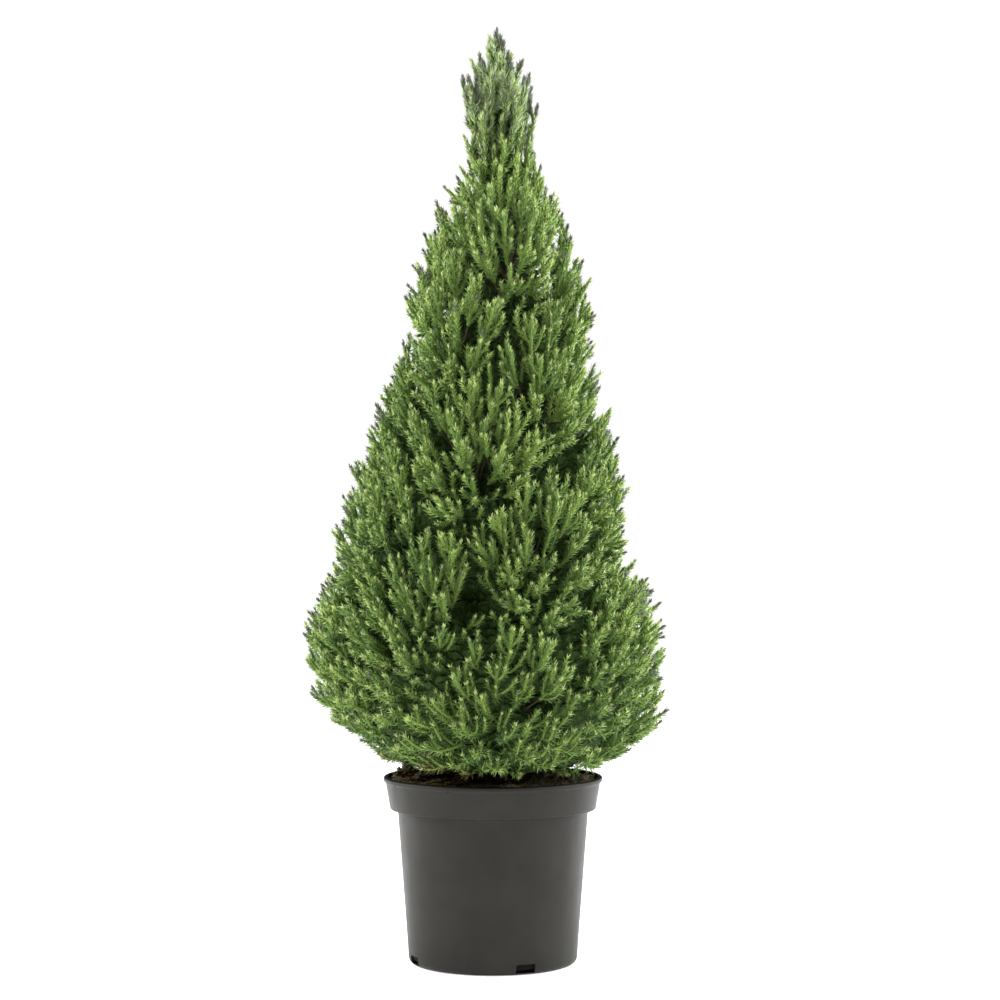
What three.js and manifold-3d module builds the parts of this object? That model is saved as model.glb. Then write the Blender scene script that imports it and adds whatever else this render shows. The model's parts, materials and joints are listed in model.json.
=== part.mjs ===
// A young dwarf Alberta spruce in a plastic nursery pot: one trunk, ascending boughs in a spiral, and dense
// masses of short needled shoots that make a cone with a narrow spire. Millimetres, +Z up. The origin is the
// centre of the pot's flat underside, and the plant's front faces -Y.
import * as THREE from "three";
import { mergeVertices } from "three/addons/utils/BufferGeometryUtils.js";
import Module from "manifold-3d";

const wasm = await Module();
wasm.setup();

// Driving sizes of the pot and its filling
const GAP = 0.3; // clearance between neighbouring pieces
const POT_HEIGHT = 204;
const RIM_RADIUS = 120;
const BAND = { height: 37, footRadius: 113, step: 2 }; // stepped out under the rim
const WALL = { topRadius: 104.5, footRadius: 92, thickness: 2.2 };
const FLOOR_THICKNESS = 3;
const CORNER_RADIUS = 7; // rounding between wall and underside
const LIP = { height: 5, overhang: 2.2, edge: 1 };
const DRAIN = { count: 4, width: 22, sill: 2.2, height: 9.5, reach: 26, firstAngle: -67.5 };
const TURNED_SIDES = 36;
const SOIL_LEVEL = 198;
const SOIL = { rings: 4, relief: 4.5, edgeDrop: 5 };
const TRUNK_SEAT_RADIUS = 24; // level soil under the trunk

// Driving sizes of the trunk: its radii by height, and the sway of its axis
const TRUNK_FOOT = SOIL_LEVEL + GAP;
const TRUNK_TIP = 880;
const FLARE_RADII = [[TRUNK_FOOT, 17], [203, 13.6], [213, 11.6], [240, 10.4]];
const TRUNK_RADII = [...FLARE_RADII, [400, 8.6], [600, 6.2], [800, 3.6], [TRUNK_TIP, 2.4]];
const TRUNK_SIDES = 8;
const TRUNK_STEPS = 10;
const ROOT_FLARE = { lobes: 4, share: 0.16, height: 26 };
const SWAY_X = { width: -9, halfWave: 430 };
const SWAY_Y = { width: 5, halfWave: 600 };

// The crown's outer surface as radius and height, from its underside to its tip
const CROWN_OUTLINE = [
  [90, 213], [128, 219], [160, 238], [185, 268], [199, 315], [199, 378], [174, 440], [162, 510],
  [138, 590], [111, 674], [110, 717], [84, 800], [70, 838], [46, 872], [40, 915], [43, 955], [31, 991],
  [0, 1029],
];
const OUTLINE_SAMPLES = 280;
// Places where the shoots are shorter than the outline, or longer where the depth is below 0: azimuth in
// degrees and height of the middle, width and height of the place, and depth as a share of the radius
const HOLLOWS = [
  { azimuth: 180, z: 694, width: 45, height: 15, depth: 0.15 },
  { azimuth: 190, z: 248, width: 80, height: 18, depth: 0.14 },
  { azimuth: 5, z: 463, width: 60, height: 20, depth: 0.1 },
  { azimuth: 0, z: 264, width: 70, height: 18, depth: -0.1 },
  { azimuth: -92, z: 399, width: 24, height: 34, depth: 0.1 },
  { azimuth: -73, z: 302, width: 34, height: 16, depth: 0.1 },
];
// A bough climbs by a steepness for each millimetre outwards, which grows with its height on the trunk
const LOWEST_BOUGH = 213;
const STEEPNESS_AT_LOWEST = 0.2;
const STEEPNESS_GAIN = 0.0038;

// Driving sizes of the boughs and the foliage masses. Shares are of the way out to the crown's surface.
const GOLDEN_ANGLE = Math.PI * (3 - Math.sqrt(5));
const MASS_COUNT = 27;
const BOUGH_COUNT = 23; // the masses above these grow from the trunk itself
const FIRST_MASS_ROOT = 214; // the lowest mass's bough leaves the trunk above this height
const CROWDING = 0.75; // below 1, masses are smaller where the crown is narrow
const BOUGH = { end: 0.44, sides: 5, taper: 0.62, steps: 2, radius: 1.6, radiusGain: 0.02 };
const STEM = { end: 0.74, taper: 0.6, steps: 3, samples: 24 };
const TIP_STEM = { length: 84, radius: 2.2 };
const TIP_CORE_RADII = [[TRUNK_TIP + 5, 2.5], [922, 9], [962, 14], [994, 6]];
const TIP_CORE_SIDES = 6;
const CORE = {
  start: 0.5, // where a core begins, on a bough and on the trunk itself
  startAtTrunk: 0.2,
  recess: 0.1, // how much further out it begins round its stem
  depth: 36, // its face lies this far under the crown's surface, or a share of the radius if that is less
  depthShare: 0.4,
  margin: 3.4,
  floor: 208,
  corners: 9,
  innerRing: 0.55,
  step: 2,
};

// Driving sizes of the sprays, whose own shares are of their length from the foot
const SPRAY = { least: 46, most: 60, neck: 0.5, neckRadius: 0.34, needles: 0.7, margin: 1.4 };
const SPRAY_FLOOR = POT_HEIGHT + 1.5;
const TRUNK_MARGIN = 2;
const NEEDLE_REACH = [[0, 6.5], [45, 9], [110, 13]]; // from a spray's axis, by the crown's radius at its tip
const ELBOW_ROOM = 1.15; // room that a spray keeps to itself, as a share of its needles' reach
const CANDIDATES = 5200;
const TIP_DEPTH = 0.05; // how much shorter than the outline a spray may end, as a share
const TWIG_RADIUS = 1.3; // at half its length
const TWIG_LEAN = 0.7; // how far back on the stem a twig starts, as a share of its reach from the stem
// How far a spray points away from its stem rather than along its neighbours: a second try spreads more
const SPREADS = [0.3, 0.8];
// Rise of the shoots above the horizontal, in degrees, by the height of their tips, and how it varies
const SHOOT_RISE = [[228, -8], [262, 18], [310, 38], [400, 56], [700, 66], [900, 74], [1021, 82]];
const RISE_JITTER = 14;
const SWING_JITTER = 0.5;
const SEED = 20;

const UP = new THREE.Vector3(0, 0, 1);
const radians = (degrees) => (degrees * Math.PI) / 180;

// Value at x of the straight-line table [[x, value], ...]
function lookUp(table, x) {
  let i = 1;
  while (i < table.length - 1 && table[i][0] < x) i++;
  const [x0, y0] = table[i - 1];
  const [x1, y1] = table[i];
  return y0 + (y1 - y0) * THREE.MathUtils.clamp((x - x0) / (x1 - x0), 0, 1);
}

// Repeatable numbers from 0 to 1
function randomSource(seed) {
  let state = seed;
  return () => {
    state = (state * 1664525 + 1013904223) % 4294967296;
    return state / 4294967296;
  };
}

// ---- Solids and meshes

function solidOf(geometry) {
  const bare = new THREE.BufferGeometry().setAttribute("position", geometry.getAttribute("position"));
  bare.setIndex(geometry.index);
  const merged = mergeVertices(bare, 1e-4);
  const mesh = new wasm.Mesh({
    numProp: 3,
    vertProperties: merged.attributes.position.array,
    triVerts: new Uint32Array(merged.index.array),
  });
  return new wasm.Manifold(mesh);
}

// The largest body of a solid: what a cut leaves loose is dropped
function largestBody(solid) {
  return solid.decompose().reduce((best, body) => (body.volume() > best.volume() ? body : best));
}

function geometryOf(solid) {
  const mesh = solid.getMesh();
  const positions = new Float32Array(mesh.numVert * 3);
  for (let i = 0; i < mesh.numVert; i++) {
    positions.set(mesh.vertProperties.subarray(i * mesh.numProp, i * mesh.numProp + 3), i * 3);
  }
  const geometry = new THREE.BufferGeometry();
  geometry.setAttribute("position", new THREE.BufferAttribute(positions, 3));
  return geometry.setIndex(new THREE.BufferAttribute(mesh.triVerts, 1));
}

// A closed body through rings of equally many points, each seen turning left from the last, with flat ends
// or ends that rise to a point
function loft(rings, apexes) {
  const sides = rings[0].length;
  const points = rings.flat();
  const last = points.length - sides;
  if (apexes) points.push(...apexes);
  const index = [];
  for (let i = 0; i < sides; i++) {
    const next = (i + 1) % sides;
    for (let a = 0; a < last; a += sides) {
      index.push(a + i, a + next, a + sides + next, a + i, a + sides + next, a + sides + i);
    }
    if (apexes) index.push(points.length - 2, next, i, points.length - 1, last + i, last + next);
    else if (i > 0 && next > 0) index.push(0, next, i, last, last + i, last + next);
  }
  return new THREE.BufferGeometry().setFromPoints(points).setIndex(index);
}

// Two directions square to a third, which they turn round to the left
function sideways(direction) {
  const reference = Math.abs(direction.z) < 0.9 ? UP : new THREE.Vector3(1, 0, 0);
  const u = new THREE.Vector3().crossVectors(reference, direction).normalize();
  return [u, new THREE.Vector3().crossVectors(direction, u)];
}

function ringAt(centre, direction, radius, sides, turn = 0) {
  const [u, v] = sideways(direction);
  return Array.from({ length: sides }, (_, i) => {
    const angle = turn + (2 * Math.PI * i) / sides;
    const across = centre.clone().addScaledVector(u, radius * Math.cos(angle));
    return across.addScaledVector(v, radius * Math.sin(angle));
  });
}

// A tapering limb along the given points
function limb(points, firstRadius, lastRadius, sides) {
  const last = points.length - 1;
  return loft(points.map((point, i) => {
    const direction = points[Math.min(i + 1, last)].clone().sub(points[Math.max(i - 1, 0)]).normalize();
    return ringAt(point, direction, firstRadius + ((lastRadius - firstRadius) * i) / last, sides);
  }));
}

// A profile of [radius, height] points turned round the Z axis
function turned(profile) {
  const points = profile.map(([radius, height]) => new THREE.Vector2(radius, height));
  return new THREE.LatheGeometry(points, TURNED_SIDES).rotateX(Math.PI / 2);
}

// ---- The pot and its filling

const BAND_FOOT = POT_HEIGHT - BAND.height;
const wallRadius = (z) => WALL.footRadius + ((WALL.topRadius - WALL.footRadius) * z) / BAND_FOOT;

// The pot's outer profile from the underside to the lip
function potOutside() {
  const corner = [0, 30, 60, 90].map((degrees) => [
    wallRadius(CORNER_RADIUS) - CORNER_RADIUS * (1 - Math.sin(radians(degrees))),
    CORNER_RADIUS * (1 - Math.cos(radians(degrees))),
  ]);
  return [
    ...corner,
    [WALL.topRadius, BAND_FOOT],
    [BAND.footRadius, BAND_FOOT + BAND.step],
    [RIM_RADIUS - LIP.overhang, POT_HEIGHT - LIP.height - LIP.edge],
    [RIM_RADIUS, POT_HEIGHT - LIP.height],
    [RIM_RADIUS, POT_HEIGHT - LIP.edge],
    [RIM_RADIUS - LIP.edge, POT_HEIGHT],
  ];
}

// The inner profile from the floor up to the lip, moved inwards by a clearance
function potInside(clearance) {
  const offset = WALL.thickness + clearance;
  return [
    [wallRadius(CORNER_RADIUS) - CORNER_RADIUS, FLOOR_THICKNESS + clearance],
    [wallRadius(CORNER_RADIUS) - offset, CORNER_RADIUS],
    [WALL.topRadius - offset, BAND_FOOT + clearance],
    [BAND.footRadius - offset, BAND_FOOT + BAND.step + clearance],
    [RIM_RADIUS - LIP.overhang - offset, POT_HEIGHT - LIP.height - LIP.edge],
  ];
}

function pot() {
  const inside = [...potInside(0), [RIM_RADIUS - LIP.overhang - WALL.thickness, POT_HEIGHT]];
  const profile = [[0, 0], ...potOutside(), ...inside.reverse(), [0, FLOOR_THICKNESS]];
  let body = solidOf(turned(profile));
  for (let i = 0; i < DRAIN.count; i++) {
    const slot = new THREE.BoxGeometry(DRAIN.reach, DRAIN.width, DRAIN.height);
    slot.translate(WALL.footRadius, 0, DRAIN.sill + DRAIN.height / 2);
    slot.rotateZ(radians(DRAIN.firstAngle + (i * 360) / DRAIN.count));
    body = body.subtract(solidOf(slot));
  }
  return body;
}

// Gentle heaps in the soil's face, level round the trunk
function soilHeight(x, y) {
  const fade = THREE.MathUtils.smoothstep(Math.hypot(x, y), TRUNK_SEAT_RADIUS, TRUNK_SEAT_RADIUS * 2);
  const heaps = Math.sin(x / 13 + 1) * Math.cos(y / 17) + 0.6 * Math.sin(x / 7 - y / 9);
  return SOIL_LEVEL + fade * SOIL.relief * heaps;
}

function soil() {
  const wall = potInside(GAP);
  const edgeHeight = SOIL_LEVEL - SOIL.edgeDrop;
  const edgeRadius = lookUp(wall.slice(-2).map(([radius, z]) => [z, radius]), edgeHeight);
  const rings = Array.from({ length: SOIL.rings }, (_, i) => [
    edgeRadius + ((TRUNK_SEAT_RADIUS - edgeRadius) * i) / (SOIL.rings - 1),
    SOIL_LEVEL,
  ]);
  const side = [...wall.slice(0, -1), [edgeRadius, edgeHeight]];
  const geometry = turned([[0, wall[0][1]], ...side, ...rings, [0, SOIL_LEVEL]]);
  const position = geometry.getAttribute("position");
  for (let i = 0; i < position.count; i++) {
    const onTop = position.getZ(i) === SOIL_LEVEL;
    if (onTop) position.setZ(i, soilHeight(position.getX(i), position.getY(i)));
  }
  return solidOf(geometry);
}

// ---- The trunk

const axisX = (z) => SWAY_X.width * Math.sin((Math.PI * (z - TRUNK_FOOT)) / SWAY_X.halfWave);
const axisY = (z) => SWAY_Y.width * Math.sin((Math.PI * (z - TRUNK_FOOT)) / SWAY_Y.halfWave);
const trunkRadius = (z) => lookUp(TRUNK_RADII, z);

const axisPoint = (z) => new THREE.Vector3(axisX(z), axisY(z), z);

// The trunk, or with a clearance the space that its neighbours leave free
function trunk(clearance) {
  const heights = FLARE_RADII.map(([z]) => z);
  const [straightFrom] = heights.slice(-1);
  for (let i = 1; i <= TRUNK_STEPS; i++) {
    heights.push(straightFrom + ((TRUNK_TIP - straightFrom) * i) / TRUNK_STEPS);
  }
  const rings = heights.map((z) => {
    const centre = axisPoint(z);
    if (z === TRUNK_FOOT) centre.z -= clearance;
    if (z === TRUNK_TIP) centre.z += clearance;
    const flare = ROOT_FLARE.share * Math.max(0, 1 - (z - TRUNK_FOOT) / ROOT_FLARE.height);
    return ringAt(centre, UP, 1, TRUNK_SIDES).map((point, i) => {
      const lobe = 1 + flare * Math.cos((ROOT_FLARE.lobes * 2 * Math.PI * i) / TRUNK_SIDES);
      return point.sub(centre).multiplyScalar(trunkRadius(z) * lobe + clearance).add(centre);
    });
  });
  return solidOf(loft(rings));
}

// ---- The crown's own coordinates: a point lies on the line of one bough, which leaves the trunk at a height
// called its root, at an azimuth, and a share of the way out to the crown's surface

const steepness = (root) => STEEPNESS_AT_LOWEST + STEEPNESS_GAIN * (root - LOWEST_BOUGH);
const rootOf = (radius, z) =>
  (z - (STEEPNESS_AT_LOWEST - STEEPNESS_GAIN * LOWEST_BOUGH) * radius) / (1 + STEEPNESS_GAIN * radius);

// The outline sampled from underside to tip: radius, height, root, length and area up to each sample
const surface = [];
const outline = new THREE.SplineCurve(CROWN_OUTLINE.map(([radius, z]) => new THREE.Vector2(radius, z)));
for (const point of outline.getPoints(OUTLINE_SAMPLES)) {
  const last = surface[surface.length - 1];
  const step = last ? Math.hypot(point.x - last.radius, point.y - last.z) : 0;
  surface.push({
    radius: Math.max(0, point.x),
    z: point.y,
    root: rootOf(point.x, point.y),
    along: last ? last.along + step : 0,
    area: last ? last.area + step * (point.x + last.radius) : 0,
    crowd: last ? last.crowd + step * (point.x + last.radius) ** CROWDING : 0,
  });
}

// The surface sample, interpolated, at which one of its measures has a value
function surfaceWhere(measure, value) {
  let low = 0;
  let high = surface.length - 1;
  while (high - low > 1) {
    const middle = (low + high) >> 1;
    if (surface[middle][measure] < value) low = middle;
    else high = middle;
  }
  const a = surface[low];
  const b = surface[high];
  const share = THREE.MathUtils.clamp((value - a[measure]) / (b[measure] - a[measure]), 0, 1);
  return Object.fromEntries(Object.keys(a).map((key) => [key, a[key] + (b[key] - a[key]) * share]));
}
const whole = surface[surface.length - 1];

function crownPlace(point) {
  const x = point.x - axisX(point.z);
  const y = point.y - axisY(point.z);
  const radius = Math.hypot(x, y);
  const root = rootOf(radius, point.z);
  const edge = surfaceWhere("root", root);
  return { radius, root, azimuth: Math.atan2(y, x), edge };
}

// How far shoots reach at an azimuth and a place on the outline, as a share of the crown's radius
function fullness(azimuth, edge) {
  const reach = (share, place) => {
    const apart = Math.abs(azimuth - radians(place.azimuth)) % (2 * Math.PI);
    const across = (Math.min(apart, 2 * Math.PI - apart) * edge.radius) / place.width;
    const up = (edge.z - place.z) / place.height;
    return share - place.depth * Math.exp(-across * across - up * up);
  };
  return HOLLOWS.reduce(reach, 1);
}

// The point on a bough's line at a share of the way out
function onBoughLine(site, share) {
  const radius = site.edge.radius * share;
  const outwards = new THREE.Vector3(Math.cos(site.azimuth), Math.sin(site.azimuth), 0);
  return axisPoint(site.edge.root + steepness(site.edge.root) * radius).addScaledVector(outwards, radius);
}

// ---- Where the masses are: one for each site, on a golden spiral that shares out the crown's surface

const below = surfaceWhere("root", FIRST_MASS_ROOT).crowd;
const sites = Array.from({ length: MASS_COUNT }, (_, i) => ({
  azimuth: i * GOLDEN_ANGLE,
  edge: surfaceWhere("crowd", below + ((whole.crowd - below) * (i + 0.5)) / MASS_COUNT),
  terminal: i === MASS_COUNT - 1,
  hasBough: i < BOUGH_COUNT,
}));

function distanceTo(site, place) {
  let turn = Math.abs(place.azimuth - site.azimuth) % (2 * Math.PI);
  turn = Math.min(turn, 2 * Math.PI - turn);
  return Math.hypot(turn * place.edge.radius, place.edge.along - site.edge.along);
}

// How far a point is inside the space of a mass, measured at the crown's surface: negative outside
function roomIn(site, place) {
  const aboveTrunk = place.root - TRUNK_TIP;
  if (site.terminal) return aboveTrunk;
  const own = distanceTo(site, place);
  const others = sites.filter((other) => other !== site && !other.terminal);
  const nearest = Math.min(...others.map((other) => distanceTo(other, place)));
  return Math.min((nearest - own) / 2, -aboveTrunk);
}

function nearestSite(place) {
  if (place.root > TRUNK_TIP) return sites[MASS_COUNT - 1];
  const nearer = (one, other) => (distanceTo(other, place) < distanceTo(one, place) ? other : one);
  return sites.slice(0, -1).reduce(nearer);
}

// ---- Boughs, and the stems that the masses' twigs grow from

const boughRadius = (site) => BOUGH.radius + BOUGH.radiusGain * site.edge.radius;
const evenly = (steps, at) => Array.from({ length: steps + 1 }, (_, i) => at(i / steps));

function bough(site, trunkSpace) {
  const points = evenly(BOUGH.steps, (share) => onBoughLine(site, BOUGH.end * share));
  const radius = boughRadius(site);
  return largestBody(solidOf(limb(points, radius, radius * BOUGH.taper, BOUGH.sides)).subtract(trunkSpace));
}

// A point of a mass's stem at a share of its length. The stem runs on from a bough's tip, or from the trunk.
function stemPoint(site, share) {
  if (site.terminal) return axisPoint(TRUNK_TIP + GAP + TIP_STEM.length * share);
  const start = site.hasBough ? BOUGH.end + GAP / site.edge.radius : 0;
  return onBoughLine(site, start + (STEM.end - start) * share);
}

function stem(site) {
  const radius = site.terminal ? TIP_STEM.radius : boughRadius(site) * BOUGH.taper;
  const points = evenly(STEM.steps, (share) => stemPoint(site, share));
  return solidOf(limb(points, radius, radius * STEM.taper, BOUGH.sides));
}

// ---- Sprays: a three-sided twig that widens into a slim core, with three needles standing out of it

// Where on the outer half of its stem a twig starts: back from the point nearest to the spray's foot
function twigRoot(site, foot) {
  const samples = evenly(STEM.samples, (share) => stemPoint(site, share));
  const away = samples.map((point) => point.distanceTo(foot));
  const nearest = away.indexOf(Math.min(...away));
  const spacing = samples[0].distanceTo(samples[1]);
  return samples[Math.max(STEM.samples / 2, Math.round(nearest - (TWIG_LEAN * away[nearest]) / spacing))];
}

function spray(site, foot, tip, reach, turn) {
  const at = (share) => foot.clone().lerp(tip, share);
  const direction = tip.clone().sub(foot).normalize();
  const neck = at(SPRAY.neck);
  const root = twigRoot(site, foot);
  const needles = ringAt(at(SPRAY.needles), direction, reach, 3, turn);
  const hollows = ringAt(neck, direction, reach * SPRAY.neckRadius, 3, turn - Math.PI / 3);
  const index = [];
  for (let i = 0; i < 3; i++) {
    const next = (i + 1) % 3;
    index.push(0, 1 + next, 1 + i, 1 + i, 1 + next, 4 + i, 1 + i, 4 + i, 7, 4 + i, 1 + next, 7);
  }
  const points = [root, ...hollows, ...needles, tip];
  const geometry = new THREE.BufferGeometry().setFromPoints(points).setIndex(index);
  const alongTwig = (share) => root.clone().lerp(neck, share);
  const tests = [alongTwig(0.4), alongTwig(0.7), ...hollows, ...needles, tip];
  for (const needle of needles) tests.push(needle.clone().lerp(tip, 0.5), needle.clone().lerp(neck, 0.5));
  const elbows = [
    { centre: alongTwig(0.5), room: 1.5 * TWIG_RADIUS },
    { centre: alongTwig(0.75), room: 2 * TWIG_RADIUS },
    { centre: neck, room: 0.6 * reach * ELBOW_ROOM },
    { centre: at(SPRAY.needles), room: reach * ELBOW_ROOM },
    { centre: at(0.85), room: reach * ELBOW_ROOM },
  ];
  return { geometry, tests, elbows };
}

function staysInside(site, { tests }) {
  return tests.every((point) => {
    const place = crownPlace(point);
    const offTrunk = point.z > TRUNK_TIP || place.radius > trunkRadius(point.z) + TRUNK_MARGIN;
    return offTrunk && point.z > SPRAY_FLOOR && roomIn(site, place) > SPRAY.margin;
  });
}

const collide = (one, other) =>
  one.elbows.some((a) => other.elbows.some((b) => a.centre.distanceTo(b.centre) < a.room + b.room));

// Candidates on a golden spiral over the whole crown, kept where they fit their mass's space and touch none
// of the sprays that are there already
function growSprays() {
  const random = randomSource(SEED);
  const sprays = [];
  for (let i = CANDIDATES - 1; i >= 0; i--) {
    const edge = surfaceWhere("area", (whole.area * (i + 0.5)) / CANDIDATES);
    const azimuth = i * GOLDEN_ANGLE;
    const radius = edge.radius * (1 - TIP_DEPTH * random()) * fullness(azimuth, edge);
    const rise = radians(lookUp(SHOOT_RISE, edge.z) + RISE_JITTER * (random() - 0.5));
    const swing = azimuth + SWING_JITTER * (random() - 0.5);
    const length = SPRAY.least + (SPRAY.most - SPRAY.least) * random();
    const turn = 2 * Math.PI * random();
    const outwards = new THREE.Vector3(Math.cos(azimuth), Math.sin(azimuth), 0);
    const tip = axisPoint(edge.z).addScaledVector(outwards, radius);
    const site = nearestSite(crownPlace(tip));
    const along = new THREE.Vector3(Math.cos(swing), Math.sin(swing), Math.tan(rise)).normalize();
    const away = tip.clone().sub(stemPoint(site, 0.5)).normalize();
    for (const spread of SPREADS) {
      const direction = along.clone().lerp(away, spread).normalize();
      const foot = tip.clone().addScaledVector(direction, -length);
      const grown = spray(site, foot, tip, lookUp(NEEDLE_REACH, edge.radius), turn);
      if (!staysInside(site, grown) || sprays.some((other) => collide(grown, other))) continue;
      sprays.push({ site, ...grown });
      break;
    }
  }
  return sprays;
}

// ---- Masses

// The core round the last of the stem at the crown's tip
function tipCore() {
  return solidOf(loft(TIP_CORE_RADII.map(([z, radius]) => ringAt(axisPoint(z), UP, radius, TIP_CORE_SIDES))));
}

// A body that fills the inner part of a mass's space, between two faces that follow the crown's surface
function core(site) {
  if (site.terminal) return tipCore();
  const start = site.hasBough ? CORE.start : CORE.startAtTrunk;
  const outerShare = ({ edge }) => 1 - Math.min(CORE.depth, CORE.depthShare * edge.radius) / edge.radius;
  const placeAt = (direction, reach) => {
    const edge = surfaceWhere("along", site.edge.along + reach * Math.sin(direction));
    return { edge, azimuth: site.azimuth + (reach * Math.cos(direction)) / edge.radius };
  };
  const holds = (place) => {
    const onSurface = place.edge.along > 0 && place.edge.along < whole.along;
    const inSpace = roomIn(site, { ...place, root: place.edge.root }) > 0;
    return onSurface && inSpace && onBoughLine(place, start).z > CORE.floor;
  };
  const rings = [[], [], []];
  for (let i = 0; i < CORE.corners; i++) {
    const direction = (2 * Math.PI * (i + 0.5)) / CORE.corners;
    let reach = 0;
    while (holds(placeAt(direction, reach + CORE.step))) reach += CORE.step;
    const foot = placeAt(direction, reach - CORE.margin / start);
    const rim = placeAt(direction, reach - CORE.margin / outerShare(site));
    const middle = placeAt(direction, CORE.innerRing * reach);
    rings[0].push(onBoughLine(foot, start));
    rings[1].push(onBoughLine(rim, outerShare(rim)));
    rings[2].push(onBoughLine(middle, outerShare(middle)));
  }
  return solidOf(loft(rings, [onBoughLine(site, start + CORE.recess), onBoughLine(site, outerShare(site))]));
}

function mass(site, sprays, trunkSpace) {
  const own = sprays.filter((one) => one.site === site).map((one) => solidOf(one.geometry));
  return largestBody(wasm.Manifold.union([stem(site), core(site), ...own]).subtract(trunkSpace));
}

// ---- The whole plant

const plasticMaterial = () => new THREE.MeshStandardMaterial({ color: 0x4a4a48, roughness: 0.5 });
const soilMaterial = () => new THREE.MeshStandardMaterial({ color: 0x2b2018, roughness: 1 });
const barkMaterial = () => new THREE.MeshStandardMaterial({ color: 0x6b5138, roughness: 0.9 });
const foliageMaterial = () => new THREE.MeshStandardMaterial({ color: 0x4f7335, roughness: 0.7 });

const plant = new THREE.Group();
function add(name, solid, material) {
  const made = new THREE.Mesh(geometryOf(solid), material);
  made.name = name;
  plant.add(made);
}

add("pot", pot(), plasticMaterial());
add("soil", soil(), soilMaterial());
add("trunk", trunk(0), barkMaterial());
const trunkSpace = trunk(GAP);
const sprays = growSprays();
sites.forEach((site, i) => {
  const number = String(i + 1).padStart(2, "0");
  if (site.hasBough) add(`bough_${number}`, bough(site, trunkSpace), barkMaterial());
  const name = site.terminal ? "foliage_tip" : `foliage_${number}`;
  add(name, mass(site, sprays, trunkSpace), foliageMaterial());
});

export default plant;
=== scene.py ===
"""The looks of a young dwarf Alberta spruce in a plastic nursery pot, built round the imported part.

The plant grows here by the same rule as its solids, carried on to finer shoots with single needles. Sizes
are in millimetres, as in the part's source, and become metres where a mesh is made. Named angles are in
degrees, and seen from above they turn from +X, the photo's right, to +Y, away from the camera.
"""

import json
import math

import bpy
import numpy as np
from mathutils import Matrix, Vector, noise

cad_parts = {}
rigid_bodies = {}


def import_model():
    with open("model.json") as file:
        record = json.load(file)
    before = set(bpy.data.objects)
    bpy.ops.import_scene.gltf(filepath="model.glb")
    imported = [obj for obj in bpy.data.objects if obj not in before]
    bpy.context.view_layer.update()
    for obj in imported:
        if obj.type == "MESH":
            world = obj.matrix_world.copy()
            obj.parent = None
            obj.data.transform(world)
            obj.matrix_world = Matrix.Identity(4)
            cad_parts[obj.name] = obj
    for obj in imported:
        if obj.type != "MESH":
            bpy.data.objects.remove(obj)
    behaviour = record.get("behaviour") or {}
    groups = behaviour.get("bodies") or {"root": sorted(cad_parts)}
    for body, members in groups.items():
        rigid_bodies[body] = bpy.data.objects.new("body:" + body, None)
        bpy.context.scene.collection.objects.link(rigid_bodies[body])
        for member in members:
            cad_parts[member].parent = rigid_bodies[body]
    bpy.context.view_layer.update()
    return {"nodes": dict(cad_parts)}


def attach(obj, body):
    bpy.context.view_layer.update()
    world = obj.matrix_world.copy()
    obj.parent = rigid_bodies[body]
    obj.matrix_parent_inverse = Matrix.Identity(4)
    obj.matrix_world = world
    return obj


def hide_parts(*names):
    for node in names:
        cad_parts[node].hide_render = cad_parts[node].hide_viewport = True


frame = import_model()

MM = 0.001
TAU = 2 * np.pi
GOLDEN_ANGLE = math.pi * (3 - math.sqrt(5))
TINY = 1e-9
NEARLY_UPRIGHT = 0.9  # the rise of a direction of length 1

# ---- Sizes shared with the part's source

GAP = 0.3
POT_HEIGHT = 204.0
RIM_RADIUS = 120.0
BAND = {"height": 37.0, "foot_radius": 113.0, "step": 2.0}
WALL = {"top_radius": 104.5, "foot_radius": 92.0, "thickness": 2.2}
CORNER_RADIUS = 7.0
LIP = {"height": 5.0, "overhang": 2.2, "edge": 1.0}
FLOOR_THICKNESS = 3.0
DRAIN = {"count": 4, "width": 22.0, "sill": 2.2, "height": 9.5, "reach": 26.0, "first_angle": -67.5}
SOIL_LEVEL = 198.0
TRUNK_SEAT_RADIUS = 24.0
SOIL = {"relief": 4.5, "edge_drop": 5.0}

TRUNK_FOOT = SOIL_LEVEL + GAP
TRUNK_TIP = 880.0
TRUNK_RADII = [
    (TRUNK_FOOT, 17.0), (203, 13.6), (213, 11.6), (240, 10.4), (400, 8.6), (600, 6.2), (800, 3.6),
    (TRUNK_TIP, 2.4),
]
ROOT_FLARE = {"lobes": 4, "share": 0.16, "height": 26.0}
SWAY = {"x": (-9.0, 430.0), "y": (5.0, 600.0)}  # width and half wave

CROWN_OUTLINE = [
    (90, 213), (128, 219), (160, 238), (185, 268), (199, 315), (199, 378), (174, 440), (162, 510), (138, 590),
    (111, 674), (110, 717), (84, 800), (70, 838), (46, 872), (40, 915), (43, 955), (31, 991), (0, 1029),
]
OUTLINE_SAMPLES = 280
HOLLOWS = [  # azimuth and height of the middle, width, height, and depth as a share of the radius
    (180, 694, 45, 15, 0.15), (190, 248, 80, 18, 0.14), (5, 463, 60, 20, 0.1), (0, 264, 70, 18, -0.1),
    (-92, 399, 24, 34, 0.1), (-73, 302, 34, 16, 0.1),
]
LOWEST_BOUGH = 213.0
STEEPNESS_AT_LOWEST = 0.2
STEEPNESS_GAIN = 0.0038

MASS_COUNT = 27
BOUGH_COUNT = 23
FIRST_MASS_ROOT = 214.0
CROWDING = 0.75
BOUGH = {"end": 0.44, "taper": 0.62, "radius": 1.6, "radius_gain": 0.02}
STEM = {"end": 0.74, "taper": 0.6, "samples": 24}
TIP_STEM = {"length": 84.0, "radius": 2.2}
CORE_DEPTH = 36.0

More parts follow.
